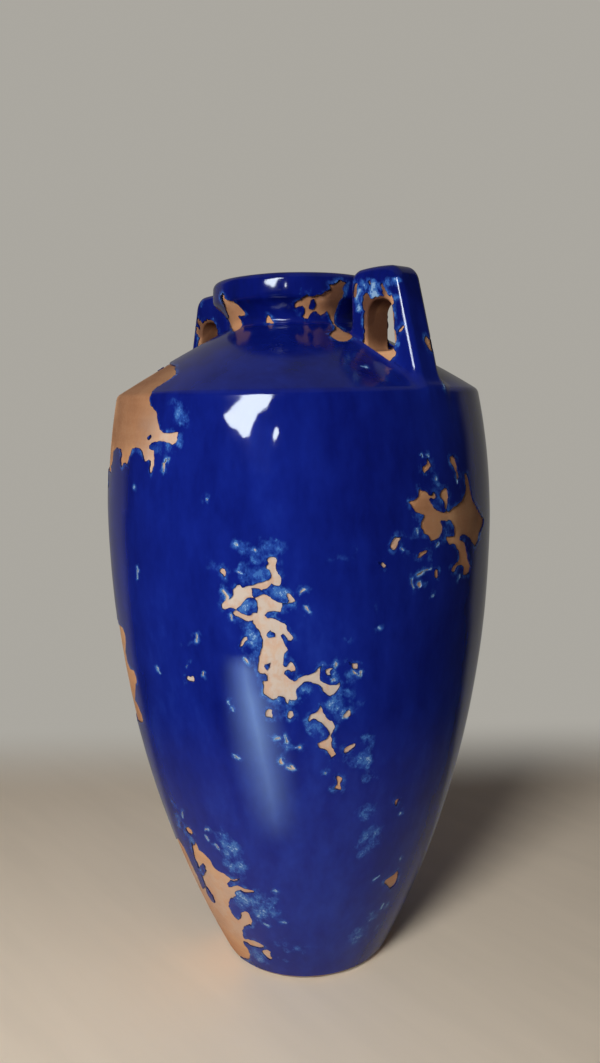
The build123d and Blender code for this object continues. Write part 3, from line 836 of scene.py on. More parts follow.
@dataclass
class Damage:
    """Where the glaze has come off the jar and where it is bruised, on the seen side and all round."""

    shape: JarShape
    camera: PhotoCamera
    ragged_depth: float = 0.42
    slot_ragged_depth: float = 0.9
    hidden_patches: int = 9
    hidden_chips: int = 110
    hidden_start: float = 8.0
    hidden_end: float = 296.0
    least_patch_radius: float = 22.0
    least_chip_radius: float = 20.0
    small_chip: float = 0.85
    chip_wildness: float = 0.35
    stroke_push: float = 2.6
    stroke_unevenness: float = 0.35
    handle_unevenness: float = 0.3
    limb_turn: float = 68.0
    fray_step: float = 3.5
    # Painted shade in each slot's hollow: its reach and strength
    slot_shade_reach: float = 14.0
    slot_shade: float = 0.85
    bruise_spread: float = 1.45
    bruise_wander: float = 1.9
    bruise_steepness: float = 1.5
    bruise_most: float = 0.92
    halo: float = 0.40
    halo_reach: float = 4.0
    rim_reach: float = 0.6
    rim_strength: float = 1.35

    def __post_init__(self) -> None:
        """Trace the seen damage onto the jar and lay out more of its kind on the far side."""
        self.fine_waves = [wave_field(seed, 10, 5.2, 1.7) for seed in (11, 12, 13)]
        self.coarse_waves = [wave_field(seed, 8, 15.0, 6.0) for seed in (21, 22, 23)]
        self.trace()
        self.scatter()

    def trace(self) -> None:
        """Turn what is traced in the photograph into places on the jar, all of it in one go."""
        patches = [CENTRE_PATCH, CENTRE_TIP, CENTRE_LOBE, CENTRE_HOOK, CENTRE_TAIL, RIGHT_PATCH, RIGHT_DROP]
        patches += [RIGHT_STRAND, SHOULDER_PATCH, FOOT_PATCH, EDGE_PATCH, NECK_PATCH, FAR_NECK_PATCH]
        patches += SMALL_PATCHES
        groups = patches + GLAZE_ISLANDS + [[row[:2], row[2:4]] for row in CHIPS + HANDLE_CHIPS]
        groups += [[row[:2]] for row in BRUISES + HANDLE_BRUISES + PALE_AND_SHEEN + SHADED_CLAY]
        pixels = np.array([pixel for group in groups for pixel in group], float)
        places = self.shape.seen(self.camera, pixels)
        found = iter(np.split(places, np.cumsum([len(group) for group in groups])[:-1]))
        self.patches = [self.chart_of(next(found)) for _ in patches]
        self.islands = [self.chart_of(next(found)) for _ in GLAZE_ISLANDS]
        self.strokes = []
        for row in CHIPS:
            ends = next(found)
            width = row[4] * self.pixel_size(ends[0]) / 2
            self.strokes.append((self.chart_of(ends), width, self.chip_wildness))
        self.handle_strokes = [(*next(found), row[4]) for row in HANDLE_CHIPS]
        self.bruises = []
        for _, _, reach, strength in BRUISES:
            place = next(found)[0]
            self.bruises.append((place, place, reach * self.pixel_size(place), strength))
        for _, _, reach, strength in HANDLE_BRUISES:
            place = next(found)[0]
            self.bruises.append((place, place, reach, strength))
        # Spots of paler clay, partly painted sheen, and spots of painted shade
        self.bleached, self.shaded_spots = [
            [(tuple(next(found)[0] * MM), reach * MM, strength) for _, _, reach, strength in spots]
            for spots in (PALE_AND_SHEEN, SHADED_CLAY)
        ]
        # Painted shade in each slot's hollow
        for side in (1, -1):
            middle = tuple(self.shape.slot_middle(side) * MM)
            self.shaded_spots.append((middle, self.slot_shade_reach * MM, self.slot_shade))

    def chart_of(self, places: np.ndarray) -> np.ndarray:
        """Put places on the jar's chart, with their angles kept together where the chart wraps round.

        Args:
            places: Places on the jar, one row each.

        Returns:
            Angles and ways, one row each.
        """
        chart = self.shape.chart(places)
        first = chart[0, 0]
        chart[:, 0] = first + (chart[:, 0] - first + math.pi) % math.tau - math.pi
        return chart

    def pixel_size(self, place: np.ndarray) -> float:
        """Find how many millimetres one pixel of the photograph spans at a place."""
        return float(np.linalg.norm(place - self.camera.place)) / self.camera.focal_length

    def scatter(self) -> None:
        """Lay out patches, chips and bruises on the side that the photograph doesn't show."""
        draw = random.Random(2026)
        home = math.atan2(self.camera.place[1], self.camera.place[0])
        low, high = self.shape.station(self.hidden_start), self.shape.station(self.hidden_end)
        turns = [108, 128, 150, 172, 191, 214, 236, 254, 163]
        rises = [0.30, 0.74, 0.16, 0.55, 0.90, 0.34, 0.66, 0.12, 0.98]
        for turn, rise in zip(turns[: self.hidden_patches], rises):
            centre = (home + math.radians(turn + draw.uniform(-5, 5)), low + (high - low) * rise)
            self.wander(draw, centre, draw.uniform(0.7, 1.25))
        for _ in range(self.hidden_chips):
            angle = home + math.radians(draw.uniform(98, 262))
            way = draw.uniform(low, high)
            length, lean = draw.uniform(0.2, 3.2), draw.uniform(-1.0, 1.0)
            radius = max(self.radius_at(way), self.least_chip_radius)
            ends = np.array([(angle, way), (angle + length * lean / radius, way + length)])
            self.strokes.append((ends, draw.uniform(0.35, 1.0), self.chip_wildness))
            if draw.random() < 0.4:
                self.bruise(angle, way, draw.uniform(3.0, 7.0), draw.uniform(0.25, 0.7))
        face = self.shape.lug_thickness / 2
        for side, thick in ((1, 1), (-1, 1), (-1, 1), (1, 1)):
            start = np.array([side * draw.uniform(45.0, 76.0), thick * face, draw.uniform(282, 318)])
            end = start + np.array([draw.uniform(-3, 3), 0.0, draw.uniform(-5, 5)])
            self.handle_strokes.append((start, end, draw.uniform(0.6, 1.6)))
            self.bruises.append((start, end, draw.uniform(3.0, 5.0), 0.7))
        for side in (1, -1):
            for _ in range(3):
                place = np.array([side * draw.uniform(50.0, 66.0), face, draw.uniform(305, 313)])
                end = place + np.array([2.0, 0.0, -2.5])
                self.handle_strokes.append((place, end, draw.uniform(0.9, 1.7)))
                self.bruises.append((place, place, draw.uniform(3.0, 5.0), 0.9))
        self.fray_limb(draw, home)

    def fray_limb(self, draw: random.Random, home: float) -> None:
        """Carry the patches that run out of sight a little way round the jar, with ragged ends.

        Args:
            draw: The random source.
            home: The angle of the camera round the jar.
        """
        for outline in self.patches:
            for start, end in zip(outline, np.roll(outline, -1, axis=0)):
                turns = [(place[0] - home + math.pi) % math.tau - math.pi for place in (start, end)]
                if min(abs(turn) for turn in turns) < math.radians(self.limb_turn):
                    continue
                radius = max(self.radius_at(start[1]), self.least_patch_radius)
                length = math.hypot((end[0] - start[0]) * radius, end[1] - start[1])
                count = math.ceil(length / self.fray_step)
                for share in np.arange(count) / count:
                    corner = start + (end - start) * share
                    lean, reach = draw.uniform(-1.2, 1.2), draw.uniform(1.0, 10.0)
                    outward = math.copysign(math.cos(lean), turns[0])
                    tip = corner + reach * np.array([outward / radius, math.sin(lean)])
                    self.strokes.append((np.array([corner, tip]), draw.uniform(1.2, 3.2), 1.0))

    def radius_at(self, way: float) -> float:
        """Find the jar's radius a given way along its outline."""
        return float(self.shape.outline.at(way)[0])

    def bruise(self, angle: float, way: float, reach: float, strength: float) -> None:
        """Note a bruise at a place on the chart.

        Args:
            angle: Its angle round the jar.
            way: Its way along the outline.
            reach: Its radius.
            strength: How pale it is.
        """
        radius, height = self.shape.outline.at(way)
        place = np.array([radius * math.cos(angle), radius * math.sin(angle), height])
        self.bruises.append((place, place, reach, strength))
    @staticmethod
    def beside(place: tuple, heading: float, reach: float, radius: float) -> tuple:
        """Find the place on the chart a reach away in a heading, where the jar has this radius."""
        return place[0] + reach * math.cos(heading) / radius, place[1] + reach * math.sin(heading)
    def wander(self, draw: random.Random, centre: tuple, size: float) -> None:
        """Lay out one ragged patch as a walk of blobs with twigs and crumbs round it.

        Args:
            draw: The random source.
            centre: The patch's angle and way.
            size: Its size next to the middle one.
        """
        place = centre
        heading = draw.uniform(-0.7, 0.7) + (math.pi / 2 if draw.random() < 0.75 else -math.pi / 2)
        for _ in range(draw.randint(5, 8)):
            radius = max(self.radius_at(place[1]), self.least_patch_radius)
            length = draw.uniform(6.0, 11.0) * size
            heading += draw.uniform(-0.75, 0.75)
            following = self.beside(place, heading, length, radius)
            width = draw.uniform(1.8, 5.2) * size
            self.strokes.append((np.array([place, following]), width, 1.0))
            if draw.random() < 0.7:
                lean = heading + draw.choice((-1, 1)) * draw.uniform(0.7, 1.5)
                twig = self.beside(place, lean, draw.uniform(7.0, 15.0) * size, radius)
                self.strokes.append((np.array([place, twig]), draw.uniform(0.8, 2.0) * size, 1.0))
            for _ in range(3):
                lean, reach = draw.uniform(0, math.tau), draw.uniform(8.0, 19.0) * size
                crumb = self.beside(place, lean, reach, radius)
                tip = (crumb[0] + draw.uniform(-2, 2) / radius, crumb[1] + draw.uniform(-2, 2))
                self.strokes.append((np.array([crumb, tip]), draw.uniform(0.4, 1.2), 0.5))
                self.bruise(*crumb, draw.uniform(4.0, 8.0), draw.uniform(0.3, 0.9))
            place = following

    def warped(self, points: np.ndarray) -> tuple[np.ndarray, np.ndarray]:
        """Shift places a little, so that straight strokes and outlines come out ragged.

        Args:
            points: Places, one row each.

        Returns:
            The places shifted by fine waves, and the coarse waves alone.
        """
        fine = np.stack([waves_at(waves, points) for waves in self.fine_waves], axis=1) * self.ragged_depth
        coarse = np.stack([waves_at(waves, points) for waves in self.coarse_waves], axis=1)
        return points + fine, coarse

    def chips(self, points: np.ndarray, small_only: bool = False) -> np.ndarray:
        """Measure how far places on the turned body are from the nearest chip.

        Args:
            points: Places on the surface, one row each.
            small_only: Whether only the smallest chips count.

        Returns:
            Distances, negative where the glaze is gone.
        """
        shifted, coarse = self.warped(points)
        chart = self.shape.chart(shifted)
        radius = np.maximum(np.hypot(points[:, 0], points[:, 1]), 1.0)
        gap = np.full(len(points), FAR_GAP)
        patches, islands = ([], []) if small_only else (self.patches, self.islands)
        for outline in patches:
            near, local = near_outline(chart, radius, outline)
            if len(near):
                gap[near] = np.minimum(gap[near], signed_gap(local, outline, radius[near]))
        for stroke in self.strokes:
            if not small_only or stroke[1] < self.small_chip:
                self.lower_stroke(gap, chart, radius, coarse, stroke)
        for island in islands:
            near, local = near_outline(chart, radius, island)
            if len(near):
                gap[near] = np.maximum(gap[near], -signed_gap(local, island, radius[near]))
        return gap

    def lower_stroke(
        self, gap: np.ndarray, chart: np.ndarray, radius: np.ndarray, coarse: np.ndarray, stroke: tuple,
    ) -> None:
        """Lower the gaps of places near one stroke.

        Args:
            gap: The gaps so far, changed here.
            chart: The places' angles and ways.
            radius: The places' radii.
            coarse: The coarse waves at the places.
            stroke: Its two ends on the chart, half its width, and how far the coarse waves push it about.
        """
        ends, width, wildness = stroke
        near, local = near_outline(chart, radius, ends)
        if not len(near):
            return
        scale = radius[near]
        push = coarse[near, :2] * self.stroke_push * wildness
        place = np.stack([local[:, 0] * scale, local[:, 1]], axis=1) + push
        first, last = [np.stack([end[0] * scale, np.full(len(near), end[1])], axis=1) for end in ends]
        along = last - first
        share = ((place - first) * along).sum(1) / np.maximum((along**2).sum(1), 1e-9)
        closest = first + along * np.clip(share, 0.0, 1.0)[:, None]
        unevenness = self.stroke_unevenness * wildness * coarse[near, 2]
        distance = np.linalg.norm(place - closest, axis=1) - width * (1 + unevenness)
        gap[near] = np.minimum(gap[near], distance)

    def handle_chips(self, points: np.ndarray) -> np.ndarray:
        """Measure how far places on the lugs are from the nearest chip or the slot's bare margin.

        Args:
            points: Places on the surface, one row each.

        Returns:
            Distances, negative where the glaze is gone.
        """
        shifted, coarse = self.warped(points)
        gap = np.full(len(points), FAR_GAP)
        for start, end, width in self.handle_strokes:
            reach = width * (1 + self.handle_unevenness * coarse[:, 0])
            gap = np.minimum(gap, segment_gap(shifted, start, end) - reach)
        slot, _ = self.shape.slot_outline.measure(np.abs(shifted[:, 0]), shifted[:, 2])
        margin = self.shape.slot_mouth_rounding + self.slot_ragged_depth * np.maximum(coarse[:, 1], -0.2)
        face = np.abs(points[:, 1]) > self.shape.lug_thickness / 2 - self.shape.lug_edge_rounding
        return np.where(face, np.minimum(gap, slot - margin), gap)

    def bruising(self, points: np.ndarray, gap: np.ndarray) -> np.ndarray:
        """Work out how bruised the glaze is at places.

        Args:
            points: Places on the surface, one row each.
            gap: Their distances from the nearest chip.

        Returns:
            Strengths from 0 to 1.
        """
        coarse = self.warped(points)[1]
        wandered = points + coarse * self.bruise_wander
        total = self.halo * np.clip(1.0 - gap / self.halo_reach, 0.0, 1.0)
        for start, end, reach, strength in self.bruises:
            reach = reach * self.bruise_spread
            span = reach + abs(end[2] - start[2])
            near = np.flatnonzero(np.abs(points[:, 2] - start[2]) < span)
            share = 1.0 - segment_gap(wandered[near], start, end) / reach
            paleness = np.clip(share * self.bruise_steepness, 0.0, 1.0)
            total[near] = np.maximum(total[near], self.bruise_most * strength * paleness)
        rim = self.chips(points, small_only=True) / self.rim_reach
        return np.maximum(total, np.clip(self.rim_strength - rim, 0.0, 1.0))


def segment_gap(points: np.ndarray, start: np.ndarray, end: np.ndarray) -> np.ndarray:
    """Measure places against a straight stroke in space.

    Args:
        points: Places, one row each.
        start: The stroke's start.
        end: Its end.

    Returns:
        Distances.
    """
    along = end - start
    share = np.clip((points - start) @ along / max(along @ along, 1e-9), 0.0, 1.0)
    return np.linalg.norm(points - start - share[:, None] * along, axis=1)


def near_outline(chart: np.ndarray, radius: np.ndarray, outline: np.ndarray) -> tuple[np.ndarray, np.ndarray]:
    """Pick the places near an outline on the chart.

    Args:
        chart: The places' angles and ways.
        radius: Their radii.
        outline: The outline's angles and ways.

    Returns:
        Their indices, and their angles and ways with the angles wrapped near the outline's.
    """
    middle = (outline[:, 0].min() + outline[:, 0].max()) / 2
    half = (outline[:, 0].max() - outline[:, 0].min()) / 2
    angle = middle + (chart[:, 0] - middle + math.pi) % math.tau - math.pi
    near = np.abs(angle - middle) < half + FAR_GAP / radius
    near &= (chart[:, 1] > outline[:, 1].min() - FAR_GAP) & (chart[:, 1] < outline[:, 1].max() + FAR_GAP)
    indices = np.flatnonzero(near)
    return indices, np.stack([angle[indices], chart[indices, 1]], axis=1)


def signed_gap(local: np.ndarray, outline: np.ndarray, radius: np.ndarray) -> np.ndarray:
    """Measure places against a closed outline on the chart.

    Args:
        local: The places' angles and ways.
        outline: The outline's angles and ways.
        radius: The places' radii.

    Returns:
        Distances, negative inside the outline.
    """
    following = np.roll(outline, -1, axis=0)
    best = np.full(len(local), 1e9)
    inside = np.zeros(len(local), bool)
    for start, end in zip(outline, following):
        x0, x1, x = start[0] * radius, end[0] * radius, local[:, 0] * radius
        along, up = x1 - x0, end[1] - start[1]
        share = ((x - x0) * along + (local[:, 1] - start[1]) * up) / np.maximum(along**2 + up**2, 1e-9)
        share = np.clip(share, 0.0, 1.0)
        best = np.minimum(best, np.hypot(x - x0 - share * along, local[:, 1] - start[1] - share * up))
        if abs(up) > 1e-12:
            between = (local[:, 1] < start[1]) != (local[:, 1] < end[1])
            crossing = start[0] + (local[:, 1] - start[1]) / up * (end[0] - start[0])
            inside ^= between & (local[:, 0] < crossing)
    return np.where(inside, -best, best)


@contextmanager
def edit_mode() -> Iterator[None]:
    """Edit the active piece for a while, then go back to object mode."""
    bpy.ops.object.mode_set(mode="EDIT")
    yield
    bpy.ops.object.mode_set(mode="OBJECT")


def deselect_all() -> None:
    """Leave nothing selected in object mode."""
    if bpy.context.object and bpy.context.object.mode != "OBJECT":
        bpy.ops.object.mode_set(mode="OBJECT")
    bpy.ops.object.select_all(action="DESELECT")


def read_values(items: object, name: str, kind: type = float, width: int = 1) -> np.ndarray:
    """Read one property of every vertex, edge, face or corner of a mesh.

    Args:
        items: The vertices, edges, faces or corners.
        name: The property's name.
        kind: The type of its numbers.
        width: How many numbers each item has.

    Returns:
        The numbers, with a row for each item where it has more than one.
    """
    flat = np.zeros(len(items) * width, kind)
    items.foreach_get(name, flat)
    return flat.reshape(-1, width) if width > 1 else flat


def read_points(piece: bpy.types.Object) -> np.ndarray:
    """Read a piece's vertices in millimetres, one row each."""
    return read_values(piece.data.vertices, "co", width=3) / MM


def write_points(piece: bpy.types.Object, points: np.ndarray) -> None:
    """Write a piece's vertices, given in millimetres."""
    piece.data.vertices.foreach_set("co", (points * MM).ravel())
    piece.data.update()


class Coat(Enum):
    """Which stretch of the jar a coat of glaze covers."""

    BODY = "glaze_body"
    SHOULDER = "glaze_shoulder"
    NECK = "glaze_neck"
    RIGHT_HANDLE = "glaze_handle_right"
    LEFT_HANDLE = "glaze_handle_left"


@dataclass
class GlazeCoat:
    """One coat of glaze, modelled as a thin shell with the chipped places cut out of it."""

    coat: Coat
    shape: JarShape
    damage: Damage
    turn_steps: int = 144
    step: float = 4.0
    sharpest_turn: float = 0.24
    seam_reach: float = 0.02
    bare_foot: float = 3.0
    lug_divisions: int = 5
    refinements: int = 2
    capture: float = 0.45
    snap_share: float = 0.3
    thickness: float = 0.57
    smallest_crumb: float = 0.35
    least_facing: float = 0.75
    piece: bpy.types.Object = field(init=False)

    @property
    def turned(self) -> bool:
        """Whether the coat lies on the turned body and not on a lug."""
        return self.coat in (Coat.BODY, Coat.SHOULDER, Coat.NECK)

    def profile(self) -> np.ndarray:
        """Step along the stretch of the jar's outline that this coat covers.

        Returns:
            Radii and heights, one row each.
        """
        edge, root = [corner.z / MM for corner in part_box("glaze_shoulder")]
        lows = {Coat.BODY: self.bare_foot, Coat.SHOULDER: edge, Coat.NECK: root}
        if self.coat is Coat.NECK:
            high = self.shape.station(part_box("glaze_neck")[0].z / MM, inside=True)
        else:
            high = self.shape.station(edge if self.coat is Coat.BODY else root)
        low = self.shape.station(lows[self.coat])
        return self.shape.outline.walk(low, high, self.step, self.sharpest_turn)

    def spin(self) -> bpy.types.Object:
        """Turn the profile round the jar's axis.

        Returns:
            The open shell.
        """
        profile = self.profile() * MM
        deselect_all()
        bpy.ops.mesh.primitive_plane_add(size=MM)
        piece = bpy.context.object
        with edit_mode():
            bpy.ops.mesh.merge(type="CENTER")
            bpy.ops.transform.translate(value=(profile[0, 0], 0.0, profile[0, 1]))
            for step in np.diff(profile, axis=0):
                bpy.ops.mesh.extrude_region_move(TRANSFORM_OT_translate={"value": (step[0], 0.0, step[1])})
            bpy.ops.mesh.select_all(action="SELECT")
            bpy.ops.mesh.spin(steps=self.turn_steps, angle=math.tau, center=(0, 0, 0), axis=(0, 0, 1))
            bpy.ops.mesh.select_all(action="SELECT")
            bpy.ops.mesh.remove_doubles(threshold=self.seam_reach * MM)
        return piece

    def carve_lug(self) -> bpy.types.Object:
        """Shape a block into the lug, before its slot is opened.

        Returns:
            The shell of the lug.
        """
        shape = self.shape
        side = 1.0 if self.coat is Coat.RIGHT_HANDLE else -1.0
        low, high = shape.shoulder_height - shape.luting, shape.lug_top_height + shape.lug_crown
        middle = (shape.lug_inner_reach + shape.lug_foot_reach) / 2
        width = shape.lug_foot_reach - shape.lug_inner_reach
        deselect_all()
        bpy.ops.mesh.primitive_cube_add(size=1.0, location=(side * middle * MM, 0.0, (low + high) / 2 * MM))
        piece = bpy.context.object
        piece.scale = (width * MM, shape.lug_thickness * MM, (high - low) * MM)
        bpy.ops.object.transform_apply(location=True, rotation=True, scale=True)
        select_vertices(piece, lambda point: point[2] > low + 1 and abs(point[0]) > middle)
        lean = shape.lug_foot_reach - shape.lug_top_reach
        with edit_mode():
            bpy.ops.transform.translate(value=(-side * lean * MM, 0.0, 0.0))
            bpy.ops.mesh.select_all(action="SELECT")
            for _ in range(self.lug_divisions):
                bpy.ops.mesh.subdivide(number_cuts=1)
        return piece

    def gaps(self, points: np.ndarray) -> tuple[np.ndarray, np.ndarray]:
        """Measure how far places are from where this coat ends.

        Args:
            points: Places on the surface, one row each.

        Returns:
            Distances from chips, and distances from any edge of the coat.
        """
        body, lug, _ = self.shape.split(points)
        if not self.turned:
            chips = self.damage.handle_chips(points)
            return chips, np.minimum(chips, body - lug)
        chips = self.damage.chips(points)
        return chips, np.minimum(chips, lug - body)

    def refine(self) -> None:
        """Divide the faces near the coat's edges more finely and settle them on the surface."""
        piece, reach = self.piece, self.step
        for level in range(self.refinements + 1):
            points = self.shape.settle(read_points(piece))
            write_points(piece, points)
            if level < self.refinements:
                gap = self.gaps(points)[1]
            elif self.turned:
                gap = self.damage.chips(points, small_only=True)
            else:
                break
            gap = gap[read_values(piece.data.loops, "vertex_index", int)]
            starts = read_values(piece.data.polygons, "loop_start", int)
            low, high = np.minimum.reduceat(gap, starts), np.maximum.reduceat(gap, starts)
            nearest = np.minimum.reduceat(np.abs(gap), starts)
            select_faces(piece, (low * high < 0.0) | (nearest < reach * self.capture))
            with edit_mode():
                bpy.ops.mesh.subdivide(number_cuts=1, ngon=False, quadcorner="INNERVERT")
            reach /= 2
        deselect_all()
        bpy.context.view_layer.objects.active = piece
        with edit_mode():
            bpy.ops.mesh.select_all(action="SELECT")
            bpy.ops.mesh.quads_convert_to_tris(quad_method="BEAUTY", ngon_method="BEAUTY")
        write_points(piece, self.shape.settle(read_points(piece)))

    def cut(self) -> None:
        """Cut the shell along the coat's edges and take away what lies beyond them."""
        points = read_points(self.piece)
        gap = self.snap(points, self.gaps(points)[1])
        mesh = bmesh.new()
        mesh.from_mesh(self.piece.data)
        mesh.verts.ensure_lookup_table()
        values = {vert: gap[vert.index] for vert in mesh.verts}
        for edge in list(mesh.edges):
            start = edge.verts[0]
            first, second = values[start], values[edge.verts[1]]
            if first * second < 0.0:
                _, fresh = bmesh.utils.edge_split(edge, start, first / (first - second))
                values[fresh] = 0.0
        for face in list(mesh.faces):
            corners = [vert for vert in face.verts if values[vert] == 0.0]
            signs = {values[vert] > 0.0 for vert in face.verts if values[vert] != 0.0}
            if len(signs) == 2 and len(corners) == 2:
                bmesh.utils.face_split(face, corners[0], corners[1])
        lost = [face for face in mesh.faces if sum(values[vert] for vert in face.verts) <= 0.0]
        bmesh.ops.delete(mesh, geom=lost, context="FACES")
        self.drop_crumbs(mesh)
        bmesh.ops.triangulate(mesh, faces=mesh.faces[:])
        mesh.to_mesh(self.piece.data)
        mesh.free()

    def snap(self, points: np.ndarray, gap: np.ndarray) -> np.ndarray:
        """Move the vertices nearest to the coat's edges onto them.

        Args:
            points: The shell's vertices.
            gap: Their distances from the edges.

        Returns:
            The distances, nought for each moved vertex.
        """
        ends = read_values(self.piece.data.edges, "vertices", int, width=2)
        lengths = np.linalg.norm(points[ends[:, 0]] - points[ends[:, 1]], axis=1)
        reach = np.full(len(points), self.step)
        for column in (0, 1):
            np.minimum.at(reach, ends[:, column], lengths * self.snap_share)
        near = np.flatnonzero(np.abs(gap) < reach)
        moved, start = points[near], points[near].copy()
        probes = np.array([(1, -1, -1), (-1, -1, 1), (-1, 1, -1), (1, 1, 1)]) * 0.03
        for _ in range(2):
            rises = sum(probe * self.gaps(moved + probe)[1][:, None] for probe in probes)
            rises = rises / (probes[:, 0] ** 2).sum()
            outward = self.shape.slope(moved)
            rises = rises - outward * (rises * outward).sum(1)[:, None]
            steep = np.maximum((rises**2).sum(1), 0.25)
            moved = moved - rises * (self.gaps(moved)[1] / steep)[:, None]
            moved = moved - outward * self.shape.level(moved)[:, None]
        kept = np.linalg.norm(moved - start, axis=1) < 1.5 * reach[near]
        kept &= np.abs(self.gaps(moved)[1]) < 0.05
        points[near[kept]] = moved[kept]
        write_points(self.piece, points)
        gap = gap.copy()
        gap[near[kept]] = 0.0
        return gap

    def drop_crumbs(self, mesh: bmesh.types.BMesh) -> None:
        """Take away stray bits of glaze too small to hold on.

        Args:
            mesh: The cut shell.
        """
        left = set(mesh.faces)
        doomed = []
        while left:
            group, edge_faces = [], [left.pop()]
            while edge_faces:
                face = edge_faces.pop()
                group.append(face)
                for edge in face.edges:
                    for neighbour in edge.link_faces:
                        if neighbour in left:
                            left.discard(neighbour)
                            edge_faces.append(neighbour)
            if sum(face.calc_area() for face in group) < self.smallest_crumb * MM * MM:
                doomed.extend(group)
        bmesh.ops.delete(mesh, geom=doomed, context="FACES")
        loose = [vert for vert in mesh.verts if not vert.link_faces]
        bmesh.ops.delete(mesh, geom=loose, context="VERTS")

    def face_outward(self) -> None:
        """Turn every face outward."""
        points = read_points(self.piece)
        mesh = bmesh.new()
        mesh.from_mesh(self.piece.data)
        mesh.faces.ensure_lookup_table()
        centres = np.array([face.calc_center_median() for face in mesh.faces]) / MM
        outward = self.shape.slope(centres)
        wrong = [face for face, way in zip(mesh.faces, outward) if face.normal.dot(Vector(way)) < 0.0]
        bmesh.ops.reverse_faces(mesh, faces=wrong)
        mesh.to_mesh(self.piece.data)
        mesh.free()
        write_points(self.piece, points)

    def thicken(self) -> None:
        """Give the shell its thickness, inward, and shade it by the true surface."""
        piece = self.piece
        outer_count = len(piece.data.vertices)
        deselect_all()
        piece.select_set(True)
        bpy.context.view_layer.objects.active = piece
        wall = piece.modifiers.new("glaze_thickness", "SOLIDIFY")
        wall.thickness = self.thickness * MM
        wall.offset = -1.0
        bpy.ops.object.modifier_apply(modifier=wall.name)
        bpy.ops.object.shade_smooth()
        data = piece.data
        corners = read_values(data.loops, "vertex_index", int)
        ways = self.shape.slope(read_points(piece))[corners]
        totals = read_values(data.polygons, "loop_total", int)
        flat = np.repeat(read_values(data.polygons, "normal", width=3), totals, axis=0)
        facing = (ways * flat).sum(1)
        outer = corners < outer_count
        chosen = np.where((outer & (facing > self.least_facing))[:, None], ways, flat)
        chosen = np.where((~outer & (facing < -self.least_facing))[:, None], -ways, chosen)
        data.normals_split_custom_set(chosen.astype(np.float32))

    def record_wear(self) -> None:
        """Store how near each vertex is to a chip and how bruised it is."""
        points = read_points(self.piece)
        gap = np.clip(self.gaps(points)[0], 0.0, FAR_GAP)
        store_values(self.piece, "chip_gap", gap)
        store_values(self.piece, "bruise", self.damage.bruising(points, gap))

    def build(self) -> bpy.types.Object:
        """Model the coat.

        Returns:
            The finished piece, riding on the jar in place of the plain coat.
        """
        piece = self.piece = self.spin() if self.turned else self.carve_lug()
        piece.name = piece.data.name = f"{self.coat.value}_chipped"
        self.refine()
        self.cut()
        self.face_outward()
        self.thicken()
        self.record_wear()
        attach(piece, "root")
        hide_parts(self.coat.value)
        return piece


def store_values(piece: bpy.types.Object, name: str, values: np.ndarray) -> None:
    """Store a number for each vertex of a piece, for its material to read."""
    layer = piece.data.attributes.new(name, "FLOAT", "POINT")
    layer.data.foreach_set("value", values.astype(np.float32))


def select_vertices(piece: bpy.types.Object, wanted: Callable) -> None:
    """Select only the vertices whose places pass a test.

    Args:
        piece: The piece.
        wanted: The test, which takes a place in millimetres.
    """
    for polygon in piece.data.polygons:
        polygon.select = False
    for edge in piece.data.edges:
        edge.select = False
    for vertex in piece.data.vertices:
        vertex.select = bool(wanted(np.array(vertex.co) / MM))


def select_faces(piece: bpy.types.Object, wanted: np.ndarray) -> None:
    """Select only some of a piece's faces, with their edges and vertices.

    Args:
        piece: The piece.
        wanted: Whether each face is wanted.
    """
    deselect_all()
    bpy.context.view_layer.objects.active = piece
    with edit_mode():
        bpy.ops.mesh.select_mode(type="FACE")
        bpy.ops.mesh.select_all(action="DESELECT")
    piece.data.polygons.foreach_set("select", wanted)
    with edit_mode():
        bpy.ops.mesh.select_mode(type="VERT")


